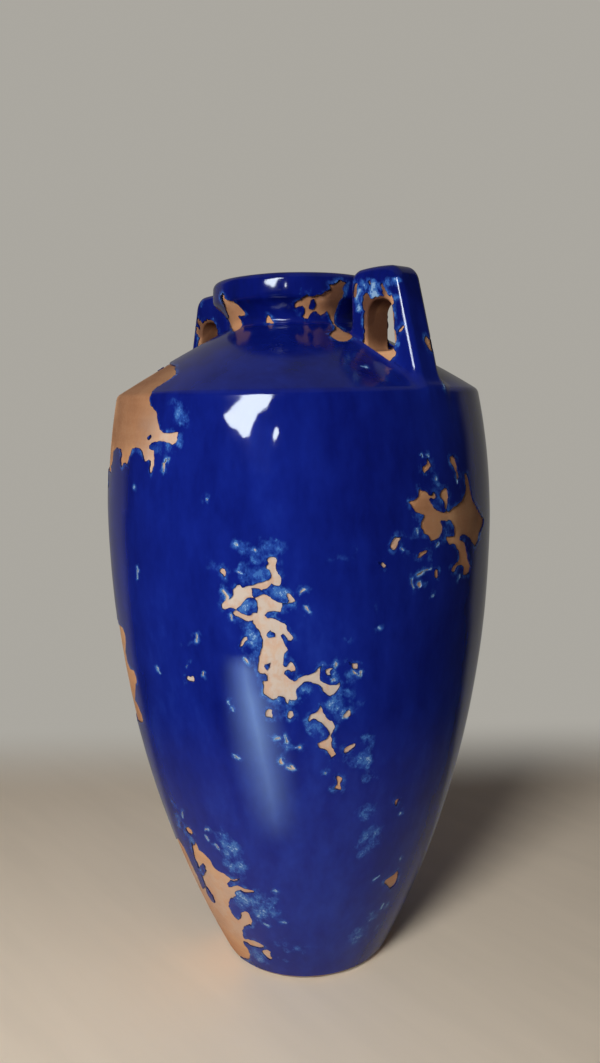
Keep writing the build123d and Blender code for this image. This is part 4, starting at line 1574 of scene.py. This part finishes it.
class Bench:
    """A node tree being wired up, with short ways to add the nodes that the finishes use."""

    def __init__(self, tree: bpy.types.NodeTree) -> None:
        """Clear a tree for wiring."""
        self.tree = tree
        tree.nodes.clear()

    def node(self, kind: str, inputs: dict | None = None, **settings: object) -> bpy.types.Node:
        """Add a node.

        Args:
            kind: The node's type.
            inputs: What each input holds: a value, or a socket to link from.
            settings: The node's own settings.

        Returns:
            The node.
        """
        made = self.tree.nodes.new(kind)
        for name, value in settings.items():
            setattr(made, name, value)
        for name, value in (inputs or {}).items():
            if isinstance(value, bpy.types.NodeSocket):
                self.tree.links.new(value, made.inputs[name])
            else:
                made.inputs[name].default_value = value
        return made

    def math(self, operation: str, first: object, second: object = 0.0, clamp: bool = False) -> object:
        """Add a sum of two numbers and give its result."""
        made = self.node("ShaderNodeMath", {0: first, 1: second}, operation=operation, use_clamp=clamp)
        return made.outputs[0]

    def total(self, first: object, weight: object, second: object, other: object) -> object:
        """Add the first times its weight to the second times the other weight, and give the result."""
        return self.math("ADD", self.math("MULTIPLY", first, weight), self.math("MULTIPLY", second, other))

    def fray(self, value: object, clouds: object, amount: float) -> object:
        """Fray a value by clouds round a half, and give the result."""
        return self.math("ADD", value, self.math("MULTIPLY", self.math("SUBTRACT", clouds, 0.5), amount))

    def mix(self, factor: object, first: object, second: object) -> bpy.types.NodeSocket:
        """Add a blend of two colours, each a socket or three numbers, and give its result."""
        sides = [(*side, 1.0) if isinstance(side, tuple) else side for side in (first, second)]
        return self.node("ShaderNodeMix", {0: factor, 6: sides[0], 7: sides[1]}, data_type="RGBA").outputs[2]

    def remap(self, value: object, low: object, high: object, start: float = 0.0, end: float = 1.0) -> object:
        """Add a smooth step from start to end as a value goes from low to high, and give its result."""
        inputs = {"Value": value, "From Min": low, "From Max": high, "To Min": start, "To Max": end}
        return self.node("ShaderNodeMapRange", inputs, interpolation_type="SMOOTHSTEP").outputs[0]

    def noise(self, vector: object, scale: float, detail: float = 2.0, roughness: float = 0.5) -> object:
        """Add a noise and give its value."""
        inputs = {"Vector": vector, "Scale": scale, "Detail": detail, "Roughness": roughness}
        return self.node("ShaderNodeTexNoise", inputs).outputs[0]

    def ramp(self, value: object, stops: list) -> bpy.types.NodeSocket:
        """Add a colour ramp and give its colour.

        Args:
            value: What it reads.
            stops: Pairs of a place from 0 to 1 and a colour.

        Returns:
            The colour socket.
        """
        made = self.node("ShaderNodeValToRGB", {0: value})
        elements = made.color_ramp.elements
        while len(elements) < len(stops):
            elements.new(0.5)
        for element, (place, colour) in zip(elements, stops):
            element.position = place
            element.color = (*colour, 1.0)
        return made.outputs[0]

    def place(self) -> bpy.types.NodeSocket:
        """Give the place on the piece, in metres."""
        return self.node("ShaderNodeTexCoord").outputs["Object"]

    def parts(self, vector: object) -> object:
        """Give a vector's three parts."""
        return self.node("ShaderNodeSeparateXYZ", {0: vector}).outputs

    def vector(self, operation: str, *inputs: object) -> object:
        """Add a sum of vectors and give its results, a vector and then a number."""
        return self.node("ShaderNodeVectorMath", dict(enumerate(inputs)), operation=operation).outputs

    def stored(self, name: str) -> bpy.types.NodeSocket:
        """Give the number that a piece's vertices store under a name."""
        return self.node("ShaderNodeAttribute", attribute_name=name).outputs["Fac"]

    def bump(self, height: object, distance: float, strength: float) -> bpy.types.NodeSocket:
        """Raise the surface by a height, and give the direction it then faces."""
        inputs = {"Height": height, "Distance": distance, "Strength": strength}
        return self.node("ShaderNodeBump", inputs).outputs[0]

    def surface(self, shader: bpy.types.Node) -> None:
        """Take a shader as the whole material."""
        self.node("ShaderNodeOutputMaterial", {"Surface": shader.outputs[0]})


def new_effect(name: str, inputs: dict, outputs: list) -> tuple[Bench, bpy.types.Node, bpy.types.Node]:
    """Start a shader effect that several finishes share.

    Args:
        name: Its name.
        inputs: Its inputs, each with its socket type.
        outputs: The names of its values.

    Returns:
        The bench, the node that gives the inputs and the node that takes the outputs.
    """
    tree = bpy.data.node_groups.new(name, "ShaderNodeTree")
    for label, kind in inputs.items():
        tree.interface.new_socket(label, in_out="INPUT", socket_type=kind)
    for label in outputs:
        tree.interface.new_socket(label, in_out="OUTPUT", socket_type="NodeSocketFloat")
    bench = Bench(tree)
    return bench, bench.node("NodeGroupInput"), bench.node("NodeGroupOutput")


def new_material(name: str) -> tuple[bpy.types.Material, Bench]:
    """Make an empty material.

    Args:
        name: Its name.

    Returns:
        The material and the bench of its nodes.
    """
    material = bpy.data.materials.new(name)
    material.use_nodes = True
    return material, Bench(material.node_tree)


@dataclass
class Effects:
    """The effects that the clay and both glazes share."""

    clouds: bpy.types.NodeTree = field(init=False)
    specks: bpy.types.NodeTree = field(init=False)

    def __post_init__(self) -> None:
        """Build each effect once."""
        self.clouds = self.build_clouds()
        self.specks = self.build_specks()

    def cloudy(self, bench: Bench, place: object, scale: float, stretch: tuple = (1.0, 1.0, 0.8)) -> object:
        """Place the clouds on a bench, and give their value round 0.5."""
        inputs = {"Place": place, "Stretch": stretch, "Scale": scale}
        return bench.node("ShaderNodeGroup", inputs, node_tree=self.clouds).outputs[0]

    def speckled(self, bench: Bench, place: object, scale: float, amount: object) -> object:
        """Place the specks on a bench, and give their mask from 0 to 1."""
        inputs = {"Place": place, "Scale": scale, "Amount": amount}
        return bench.node("ShaderNodeGroup", inputs, node_tree=self.specks).outputs[0]

    @staticmethod
    def build_clouds() -> bpy.types.NodeTree:
        """Build soft clouds that can be drawn out upright or level.

        Returns:
            The effect, which gives a value round 0.5.
        """
        inputs = {"Place": "NodeSocketVector", "Stretch": "NodeSocketVector", "Scale": "NodeSocketFloat"}
        bench, given, taken = new_effect("clouds", inputs, ["Value"])
        scale = given.outputs["Scale"]
        stretched = bench.vector("MULTIPLY", given.outputs["Place"], given.outputs["Stretch"])[0]
        coarse = bench.noise(stretched, scale, detail=4.0, roughness=0.6)
        fine = bench.noise(stretched, bench.math("MULTIPLY", scale, 4.3), detail=2.0)
        bench.tree.links.new(bench.total(coarse, 0.75, fine, 0.25), taken.inputs["Value"])
        return bench.tree

    @staticmethod
    def build_specks() -> bpy.types.NodeTree:
        """Build ragged specks that cover more of the surface as their amount rises.

        Returns:
            The effect, which gives a mask from 0 to 1.
        """
        inputs = {"Place": "NodeSocketVector", "Scale": "NodeSocketFloat", "Amount": "NodeSocketFloat"}
        bench, given, taken = new_effect("specks", inputs, ["Mask"])
        grain = bench.noise(given.outputs["Place"], given.outputs["Scale"], detail=5.0, roughness=0.72)
        edge = bench.remap(given.outputs["Amount"], 0.0, 1.0, 0.8, 0.36)
        mask = bench.remap(grain, edge, bench.math("ADD", edge, 0.07))
        bench.tree.links.new(mask, taken.inputs["Mask"])
        return bench.tree


@dataclass(frozen=True)
class GlazeFinish:
    """A deep cobalt glaze, glassy, clouded and drawn down the wall, bruised pale beside its chips."""

    name: str
    worn: bool
    pooled: tuple = (0.0018, 0.0045, 0.062)
    deep: tuple = (0.0025, 0.0065, 0.120)
    middle: tuple = (0.0048, 0.0135, 0.185)
    bright: tuple = (0.0100, 0.0290, 0.260)
    veil: tuple = (0.022, 0.076, 0.330)
    bruised: tuple = (0.052, 0.158, 0.410)
    pale: tuple = (0.260, 0.390, 0.560)
    # Dark line at the chips' edges: part thick glaze edge, part painted shadow
    dark_edge_and_shadow: tuple = (0.0012, 0.0030, 0.034)
    pool_height: float = 0.288
    pooling: float = 0.07
    full_height: float = 0.262
    thinning: float = 0.04
    thickening: float = 0.075
    matt_start: float = 0.268
    matt_end: float = 0.300
    matting: float = 0.11
    upper_matting: float = 0.045
    foot_height: float = 0.04
    wide_scale: float = 26.0
    narrow_scale: float = 95.0
    wide_share: float = 0.62
    smoothest: float = 0.030
    roughest: float = 0.060
    broad_scale: float = 80.0
    broad_fray: float = 1.6
    mottle_scale: float = 260.0
    mottle_fray: float = 2.8
    veiling: float = 0.9
    smear_scale: float = 480.0
    smearing: float = 0.62
    fleck_scale: float = 900.0
    fleck_density: float = 0.64
    flecking: float = 0.8
    fleck_roughness: float = 0.25
    edge_and_shadow_strength: float = 0.75

    def make(self, effects: Effects) -> bpy.types.Material:
        """Wire the finish.

        Args:
            effects: The shared effects.

        Returns:
            The material.
        """
        material, bench = new_material(self.name)
        place = bench.place()
        wide = effects.cloudy(bench, place, self.wide_scale, (1.0, 1.0, 0.35))
        narrow = effects.cloudy(bench, place, self.narrow_scale, (1.0, 1.0, 0.5))
        tone = bench.total(wide, self.wide_share, narrow, 1.0 - self.wide_share)
        height = bench.parts(place)[2]
        pooled = bench.remap(height, self.pool_height, self.pool_height + 0.012, 0.0, self.pooling)
        thinned = bench.remap(height, self.foot_height, self.full_height, self.thinning, -self.thickening)
        tone = bench.math("ADD", bench.math("SUBTRACT", tone, pooled), thinned)
        stops = [(0.20, self.pooled), (0.36, self.deep), (0.52, self.middle), (0.68, self.bright)]
        colour = bench.ramp(tone, stops)
        matted = bench.remap(height, self.matt_start, self.matt_start + 0.005, 0.0, self.matting)
        regain = self.matting - self.upper_matting
        regained = bench.remap(height, self.matt_end, self.matt_end + 0.006, 0.0, regain)
        matted = bench.math("SUBTRACT", matted, regained)
        roughness = bench.math("ADD", bench.remap(narrow, 0.35, 0.7, self.smoothest, self.roughest), matted)
        if self.worn:
            colour, roughness = self.wear(bench, effects, colour, roughness)
        shader = bench.node("ShaderNodeBsdfPrincipled", {
            "Base Color": colour, "Roughness": roughness, "IOR": 1.5,
            "Normal": bench.bump(bench.noise(place, 170.0, detail=3.0), 0.00003, 0.5),
        })
        bench.surface(shader)
        return material

    def wear(self, bench: Bench, effects: Effects, colour: object, roughness: object) -> tuple:
        """Bruise the glaze pale and edge its chips with a dark line, part glaze edge and part painted shadow.

        Args:
            bench: The material's bench.
            effects: The shared effects.
            colour: The sound glaze's colour.
            roughness: The sound glaze's roughness.

        Returns:
            The worn colour and roughness.
        """
        place = bench.place()
        bruise = bench.stored("bruise")
        broad = effects.cloudy(bench, place, self.broad_scale)
        mottle = effects.cloudy(bench, place, self.mottle_scale)
        frayed = bench.fray(bench.fray(bruise, broad, self.broad_fray), mottle, self.mottle_fray)
        frayed = bench.math("MULTIPLY", frayed, bench.remap(bruise, 0.02, 0.35), clamp=True)
        colour = bench.mix(bench.remap(frayed, 0.10, 0.75, 0.0, self.veiling), colour, self.veil)
        smears = effects.speckled(bench, place, self.smear_scale, frayed)
        colour = bench.mix(bench.math("MULTIPLY", smears, self.smearing), colour, self.bruised)
        dense = bench.math("MULTIPLY", frayed, self.fleck_density)
        flecks = effects.speckled(bench, place, self.fleck_scale, dense)
        flecks = bench.math("MULTIPLY", flecks, self.flecking)
        solid = bench.remap(bench.fray(bruise, mottle, 0.4), 0.90, 1.0, 0.0, 0.85)
        flecks = bench.math("MAXIMUM", flecks, solid)
        colour = bench.mix(flecks, colour, self.pale)
        # Dark line at the chips' edges: part thick glaze edge, part painted shadow
        edge_and_shadow_mask = bench.remap(bench.stored("chip_gap"), 0.06, 0.34, self.edge_and_shadow_strength, 0.0)
        edge_and_shadow_mask = bench.math("MULTIPLY", edge_and_shadow_mask, bench.remap(bruise, 0.5, 0.9, 1.0, 0.1))
        colour = bench.mix(edge_and_shadow_mask, colour, self.dark_edge_and_shadow)
        return colour, bench.math("ADD", roughness, bench.math("MULTIPLY", flecks, self.fleck_roughness))


@dataclass(frozen=True)
class ClayFinish:
    """Fired red clay, wiped smooth on the wheel, with grit, pale bloom and faint level turning marks."""

    name: str = "fired_terracotta"
    dark: tuple = (0.420, 0.180, 0.078)
    middle: tuple = (0.560, 0.265, 0.125)
    light: tuple = (0.610, 0.340, 0.170)
    grit: tuple = (0.240, 0.100, 0.050)
    bloom: tuple = (0.540, 0.432, 0.350)
    # Tone that the clay darkens to towards the bottom of the foot
    darker_foot_tone: tuple = (0.090, 0.055, 0.040)
    # Colour of the painted shade in hollows and on the shaded side
    painted_shade: tuple = (0.085, 0.030, 0.016)
    darker_foot_height: float = 0.0035
    mottle_scale: float = 30.0
    mottle_share: float = 0.72
    turning_scale: float = 210.0
    turning_stretch: tuple = (0.12, 0.12, 1.0)
    bloom_scale: float = 240.0
    bloom_amount: float = 0.42
    blooming: float = 0.25
    patchy_scale: float = 105.0
    grit_scale: float = 1100.0
    grit_amount: float = 0.33
    gritting: float = 0.6
    foot_darkening: float = 0.85
    grain_scale: float = 900.0
    grain_share: float = 0.35

    def make(self, effects: Effects, bleached: list, shaded_spots: list) -> bpy.types.Material:
        """Wire the finish.

        Args:
            effects: The shared effects.
            bleached: Paler spots, part bleach, part painted sheen: a place, reach and strength each.
            shaded_spots: Spots of painted shade, in the same form.

        Returns:
            The material.
        """
        material, bench = new_material(self.name)
        place = bench.place()
        mottle = effects.cloudy(bench, place, self.mottle_scale)
        turned = effects.cloudy(bench, place, self.turning_scale, self.turning_stretch)
        tone = bench.total(mottle, self.mottle_share, turned, 1.0 - self.mottle_share)
        colour = bench.ramp(tone, [(0.34, self.dark), (0.50, self.middle), (0.66, self.light)])
        bloom = effects.speckled(bench, place, self.bloom_scale, self.bloom_amount)
        bloom = bench.math("MULTIPLY", bloom, self.blooming)
        patchy = effects.cloudy(bench, place, self.patchy_scale, (1.0, 1.0, 0.7))
        # Paler clay in spots: partly bleaching, partly painted sheen on the lit front
        bleach = self.spots(bench, place, mottle, bleached)
        bleach = bench.math("MULTIPLY", bleach, bench.remap(patchy, 0.42, 0.56, 0.5, 1.0))
        colour = bench.mix(bench.math("MAXIMUM", bloom, bleach), colour, self.bloom)
        # Painted shade: clay darkened in the slots, beside the neck and on the shaded side
        colour = bench.mix(self.spots(bench, place, mottle, shaded_spots), colour, self.painted_shade)
        grit = effects.speckled(bench, place, self.grit_scale, self.grit_amount)
        colour = bench.mix(bench.math("MULTIPLY", grit, self.gritting), colour, self.grit)
        # The clay darker towards the bottom of the foot
        darker_foot_mask = bench.remap(bench.parts(place)[2], 0.0005, self.darker_foot_height, self.foot_darkening, 0.0)
        colour = bench.mix(darker_foot_mask, colour, self.darker_foot_tone)
        grain = bench.noise(place, self.grain_scale, detail=4.0, roughness=0.7)
        height = bench.total(grain, self.grain_share, turned, 1.0 - self.grain_share)
        height = bench.math("SUBTRACT", height, bench.math("MULTIPLY", grit, self.grain_share))
        shader = bench.node("ShaderNodeBsdfPrincipled", {
            "Base Color": colour, "Roughness": bench.remap(grain, 0.3, 0.7, 0.58, 0.78), "IOR": 1.45,
            "Normal": bench.bump(height, 0.00025, 0.8),
        })
        bench.surface(shader)
        return material

    @staticmethod
    def spots(bench: Bench, place: object, mottle: object, spots: list) -> object:
        """Mask soft ragged spots on the clay.

        Args:
            bench: The material's bench.
            place: The place on the jar.
            mottle: The clouds that fray the spots.
            spots: A place, a reach and a strength each.

        Returns:
            The mask.
        """
        mask = 0.0
        for spot, reach, strength in spots:
            away = bench.vector("DISTANCE", place, spot)[1]
            ragged = bench.fray(away, mottle, reach)
            mask = bench.math("MAXIMUM", mask, bench.remap(ragged, reach * 0.5, reach, strength, 0.0))
        return mask


@dataclass(frozen=True)
class Lamp:
    """A soft square lamp that the glaze doesn't mirror. Its angles are in degrees, its sizes in metres.

    Its brightness is how bright it makes a white surface that faces it in the jar's middle.
    """

    name: str
    bearing: float
    elevation: float
    distance: float
    brightness: float
    size: float
    colour: tuple = (1.0, 1.0, 1.0)
    shadow: bool = True

    def hang(self, aim_height: float) -> None:
        """Hang the lamp, turned to a place on the jar's axis.

        Args:
            aim_height: How high that place is, in metres.
        """
        data = bpy.data.lights.new(self.name, "AREA")
        data.shape = "SQUARE"
        data.size = self.size
        data.energy = self.brightness * (math.pi * self.distance) ** 2
        data.color = self.colour
        data.use_shadow = self.shadow
        lamp = bpy.data.objects.new(self.name, data)
        bpy.context.scene.collection.objects.link(lamp)
        bearing, elevation = math.radians(self.bearing), math.radians(self.elevation)
        level, rise = math.cos(elevation) * self.distance, math.sin(elevation) * self.distance
        aim = Vector((0.0, 0.0, aim_height))
        lamp.location = aim + Vector((level * math.cos(bearing), level * math.sin(bearing), rise))
        lamp.rotation_euler = (aim - lamp.location).to_track_quat("-Z", "Y").to_euler()
        lamp.visible_glossy = False


@dataclass
class Studio:
    """The plain room round the jar: floor, lamps, and the cards that the glaze mirrors."""

    shape: JarShape
    camera: PhotoCamera
    wall: tuple = (0.405, 0.388, 0.350)
    mirrored_wall: tuple = (0.190, 0.183, 0.172)
    ceiling: tuple = (0.135, 0.140, 0.150)
    dark_side: tuple = (0.024, 0.026, 0.032)
    ambient: tuple = (0.030, 0.030, 0.031)
    wall_fades_out: float = math.radians(67)
    wall_starts: float = math.radians(54)
    ceiling_start: float = 0.60
    ceiling_full: float = 0.78
    floor: tuple = (0.965, 0.785, 0.600)
    floor_radius: float = 2.6
    drift_stretch: tuple = (1.2, 9.0, 1.0)
    drift_scale: float = 6.0
    sweep_start: float = 0.15
    sweep_end: float = 0.29
    far_start: float = 0.32
    far_end: float = 0.62
    mirror_fade_start: float = 0.04
    mirror_fade_end: float = 0.32
    mirror_fade_least: float = 0.45
    lamps: tuple = (
        Lamp("key_lamp", -66.0, 25.0, 0.80, 0.95, 0.24, colour=(0.92, 0.97, 1.0)),
        Lamp("top_lamp", 0.0, 90.0, 1.5, 0.020, 0.8),
        Lamp("back_lamp", 148.0, -2.5, 1.5, 0.36, 0.3, shadow=False),
    )
    aim_height: float = 0.11
    pane_distance: float = 1.5
    pane_radiance: float = 22.0
    pane_colour: tuple = (0.86, 0.95, 1.0)
    sheen_height: float = 2.0
    sheen_colour: tuple = (0.43, 0.68, 1.0)
    sheen_radiance: float = 5.6
    sheen_columns: int = 16
    sheen_rows: int = 24
    sheen_narrowing: float = 1.7

    def build(self) -> None:
        """Make the floor, the lamps and the mirrored cards."""
        self.light_world()
        self.lay_floor()
        for lamp in self.lamps:
            lamp.hang(self.aim_height)
        self.hang_pane("window_pane", WINDOW_PANE)
        self.hang_pane("narrow_pane", NARROW_PANE)
        self.lay_streak()

    def surroundings(self, bench: Bench, way: bpy.types.NodeSocket) -> bpy.types.NodeSocket:
        """Work out what the glaze mirrors of the room in a direction.

        Args:
            bench: The bench of the material or world.
            way: The direction, or a far place on the floor.

        Returns:
            The colour: a grey wall behind the jar, a plain ceiling, and dark elsewhere.
        """
        parts = bench.parts(way)
        away = self.camera.level
        flat = bench.math("SQRT", bench.total(parts[0], parts[0], parts[1], parts[1]))
        toward = bench.total(parts[0], float(away[0]), parts[1], float(away[1]))
        share = bench.math("DIVIDE", toward, bench.math("MAXIMUM", flat, 0.001))
        walled = bench.remap(share, math.cos(self.wall_fades_out), math.cos(self.wall_starts))
        around = bench.mix(walled, self.dark_side, self.mirrored_wall)
        return bench.mix(bench.remap(parts[2], self.ceiling_start, self.ceiling_full), around, self.ceiling)

    def by_ray(self, bench: Bench, mirrored: bpy.types.NodeSocket) -> bpy.types.NodeSocket:
        """Choose the room's colour: plain to the camera, as mirrored to the glaze, and dim as light.

        Args:
            bench: The bench of the material or world.
            mirrored: What the glaze mirrors.

        Returns:
            The colour.
        """
        rays = bench.node("ShaderNodeLightPath").outputs
        plain = bench.math("MAXIMUM", rays["Is Camera Ray"], rays["Is Transmission Ray"])
        return bench.mix(plain, bench.mix(rays["Is Glossy Ray"], self.ambient, mirrored), self.wall)

    def light_world(self) -> None:
        """Light the room dimly and evenly, with the surroundings that the glaze mirrors."""
        world = bpy.data.worlds.new("room")
        bpy.context.scene.world = world
        world.use_nodes = True
        bench = Bench(world.node_tree)
        way = bench.node("ShaderNodeTexCoord").outputs["Generated"]
        colour = self.by_ray(bench, self.surroundings(bench, way))
        back = bench.node("ShaderNodeBackground", {"Color": colour, "Strength": 1.0})
        bench.node("ShaderNodeOutputWorld", {"Surface": back.outputs[0]})

    def lay_floor(self) -> None:
        """Lay a pale floor that sweeps up into the wall's colour behind the jar and keeps its shadow."""
        deselect_all()
        bpy.ops.mesh.primitive_circle_add(vertices=96, radius=self.floor_radius, fill_type="NGON")
        floor = bpy.context.object
        floor.name = floor.data.name = "floor"
        material, bench = new_material("pale_floor")
        place = bench.place()
        reach = bench.vector("LENGTH", place)[1]
        depth = bench.vector("DOT_PRODUCT", place, tuple(self.camera.level))[1]
        drawn = bench.vector("MULTIPLY", place, self.drift_stretch)[0]
        drift = bench.noise(drawn, self.drift_scale, detail=4.0)
        tint = bench.ramp(drift, [(0.35, tuple(0.96 * part for part in self.floor)), (0.65, self.floor)])
        dull = {"Base Color": tint, "Roughness": 0.9, "Specular IOR Level": 0.0}
        lit = bench.node("ShaderNodeBsdfPrincipled", dull)
        far = bench.node("ShaderNodeEmission", {"Color": self.by_ray(bench, self.surroundings(bench, place))})
        swept = bench.remap(depth, self.sweep_start, self.sweep_end)
        seen_fade = bench.math("MAXIMUM", swept, bench.remap(reach, self.far_start, self.far_end))
        least = self.mirror_fade_least
        mirror_fade = bench.remap(reach, self.mirror_fade_start, self.mirror_fade_end, least, 1.0)
        glossy = bench.node("ShaderNodeLightPath").outputs["Is Glossy Ray"]
        fades = {0: glossy, 2: seen_fade, 3: mirror_fade}
        fade = bench.node("ShaderNodeMix", fades, data_type="FLOAT").outputs[0]
        bench.surface(bench.node("ShaderNodeMixShader", {0: fade, 1: lit.outputs[0], 2: far.outputs[0]}))
        floor.data.materials.append(material)

    def mirrored(self, pixels: np.ndarray) -> tuple[np.ndarray, np.ndarray]:
        """Find where pixels of the photograph meet the glaze and where it mirrors them from.

        Args:
            pixels: Places in the photograph, one row each.

        Returns:
            The places on the jar and the directions, one row each.
        """
        places = self.shape.seen(self.camera, pixels)
        rays = self.camera.rays(pixels)
        outward = self.shape.slope(places, rippled=False)
        return places, rays - 2.0 * (rays * outward).sum(1)[:, None] * outward

    def hang_pane(self, name: str, outline: list) -> None:
        """Hang a bright pane of the shape that the glaze mirrors.

        Args:
            name: The pane's name.
            outline: The outline of its reflection in the photograph.
        """
        places, ways = self.mirrored(np.array(outline, float))
        corners = places * MM + ways * self.pane_distance
        deselect_all()
        bpy.ops.mesh.primitive_circle_add(vertices=len(corners), radius=0.1, fill_type="NGON")
        pane = bpy.context.object
        pane.name = pane.data.name = name
        pane.data.vertices.foreach_set("co", corners.ravel())
        pane.data.update()
        material, bench = new_material(f"{name}_light")
        glow = {"Color": (*self.pane_colour, 1.0), "Strength": self.pane_radiance}
        bench.surface(bench.node("ShaderNodeEmission", glow))
        pane.data.materials.append(material)
        self.mirror_only(pane)

    def lay_streak(self) -> None:
        """Lay the lit strip of table that the glaze mirrors low on the belly, fading at its borders."""
        deselect_all()
        bpy.ops.mesh.primitive_grid_add(
            x_subdivisions=self.sheen_columns, y_subdivisions=self.sheen_rows, size=1.0,
        )
        strip = bpy.context.object
        strip.name = strip.data.name = "table_sheen"
        grid = read_points(strip) * MM
        rows = np.arange(len(STREAK_LEFT))
        share, row = grid[:, 0] + 0.5, (0.5 - grid[:, 1]) * rows[-1]
        left, right = [
            np.stack([np.interp(row, rows, column) for column in np.array(side, float).T], axis=1)
            for side in (STREAK_LEFT, STREAK_RIGHT)
        ]
        places, ways = self.mirrored(left + (right - left) * share[:, None])
        write_points(strip, places + ways * ((self.sheen_height - places[:, 2]) / ways[:, 2])[:, None])
        across = (2.0 * np.minimum(share, 1.0 - share)) ** self.sheen_narrowing
        store_values(strip, "glow", np.interp(row, rows, STREAK_GLOW) * across)
        material, bench = new_material("table_sheen_light")
        strength = bench.math("MULTIPLY", bench.stored("glow"), self.sheen_radiance)
        light = bench.node("ShaderNodeEmission", {"Color": (*self.sheen_colour, 1.0), "Strength": strength})
        clear = bench.node("ShaderNodeBsdfTransparent")
        bench.surface(bench.node("ShaderNodeAddShader", {0: light.outputs[0], 1: clear.outputs[0]}))
        strip.data.materials.append(material)
        self.mirror_only(strip)

    @staticmethod
    def mirror_only(card: bpy.types.Object) -> None:
        """Let only mirror reflections see a card.

        Args:
            card: The card.
        """
        card.visible_camera = False
        card.visible_diffuse = False
        card.visible_shadow = False
        card.visible_transmission = False


@dataclass
class Jar:
    """The whole jar: bare clay pieces from the frame and five chipped coats of glaze over them."""

    shape: JarShape
    damage: Damage

    def build(self) -> None:
        """Model each coat and give every piece its finish."""
        effects = Effects()
        clay = ClayFinish().make(effects, self.damage.bleached, self.damage.shaded_spots)
        glaze = GlazeFinish("cobalt_glaze_worn", worn=True).make(effects)
        lining = GlazeFinish("lining_glaze", worn=False, deep=(0.002, 0.005, 0.07)).make(effects)
        for name in ("base_slab", "body_wall", "shoulder", "neck_collar", "handle_right", "handle_left"):
            self.dress(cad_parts[name], clay)
        self.dress(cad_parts["inner_glaze"], lining)
        for coat in Coat:
            piece = GlazeCoat(coat, self.shape, self.damage).build()
            self.dress(piece, glaze)
            LOG.info("%s: %d faces", piece.name, len(piece.data.polygons))

    @staticmethod
    def dress(piece: bpy.types.Object, material: bpy.types.Material) -> None:
        """Give a piece one material all over.

        Args:
            piece: The piece.
            material: The material.
        """
        if not piece.material_slots:
            piece.data.materials.append(material)
        for slot in piece.material_slots:
            slot.material = material


def main() -> None:
    """Build the scene."""
    logging.basicConfig(level=logging.INFO, format="%(message)s")
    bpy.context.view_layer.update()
    scene = bpy.context.scene
    scene.view_settings.view_transform = "Standard"
    camera = PhotoCamera()
    camera.make()
    shape = JarShape()
    Studio(shape, camera).build()
    Jar(shape, Damage(shape, camera)).build()


if __name__ == "__main__":
    main()
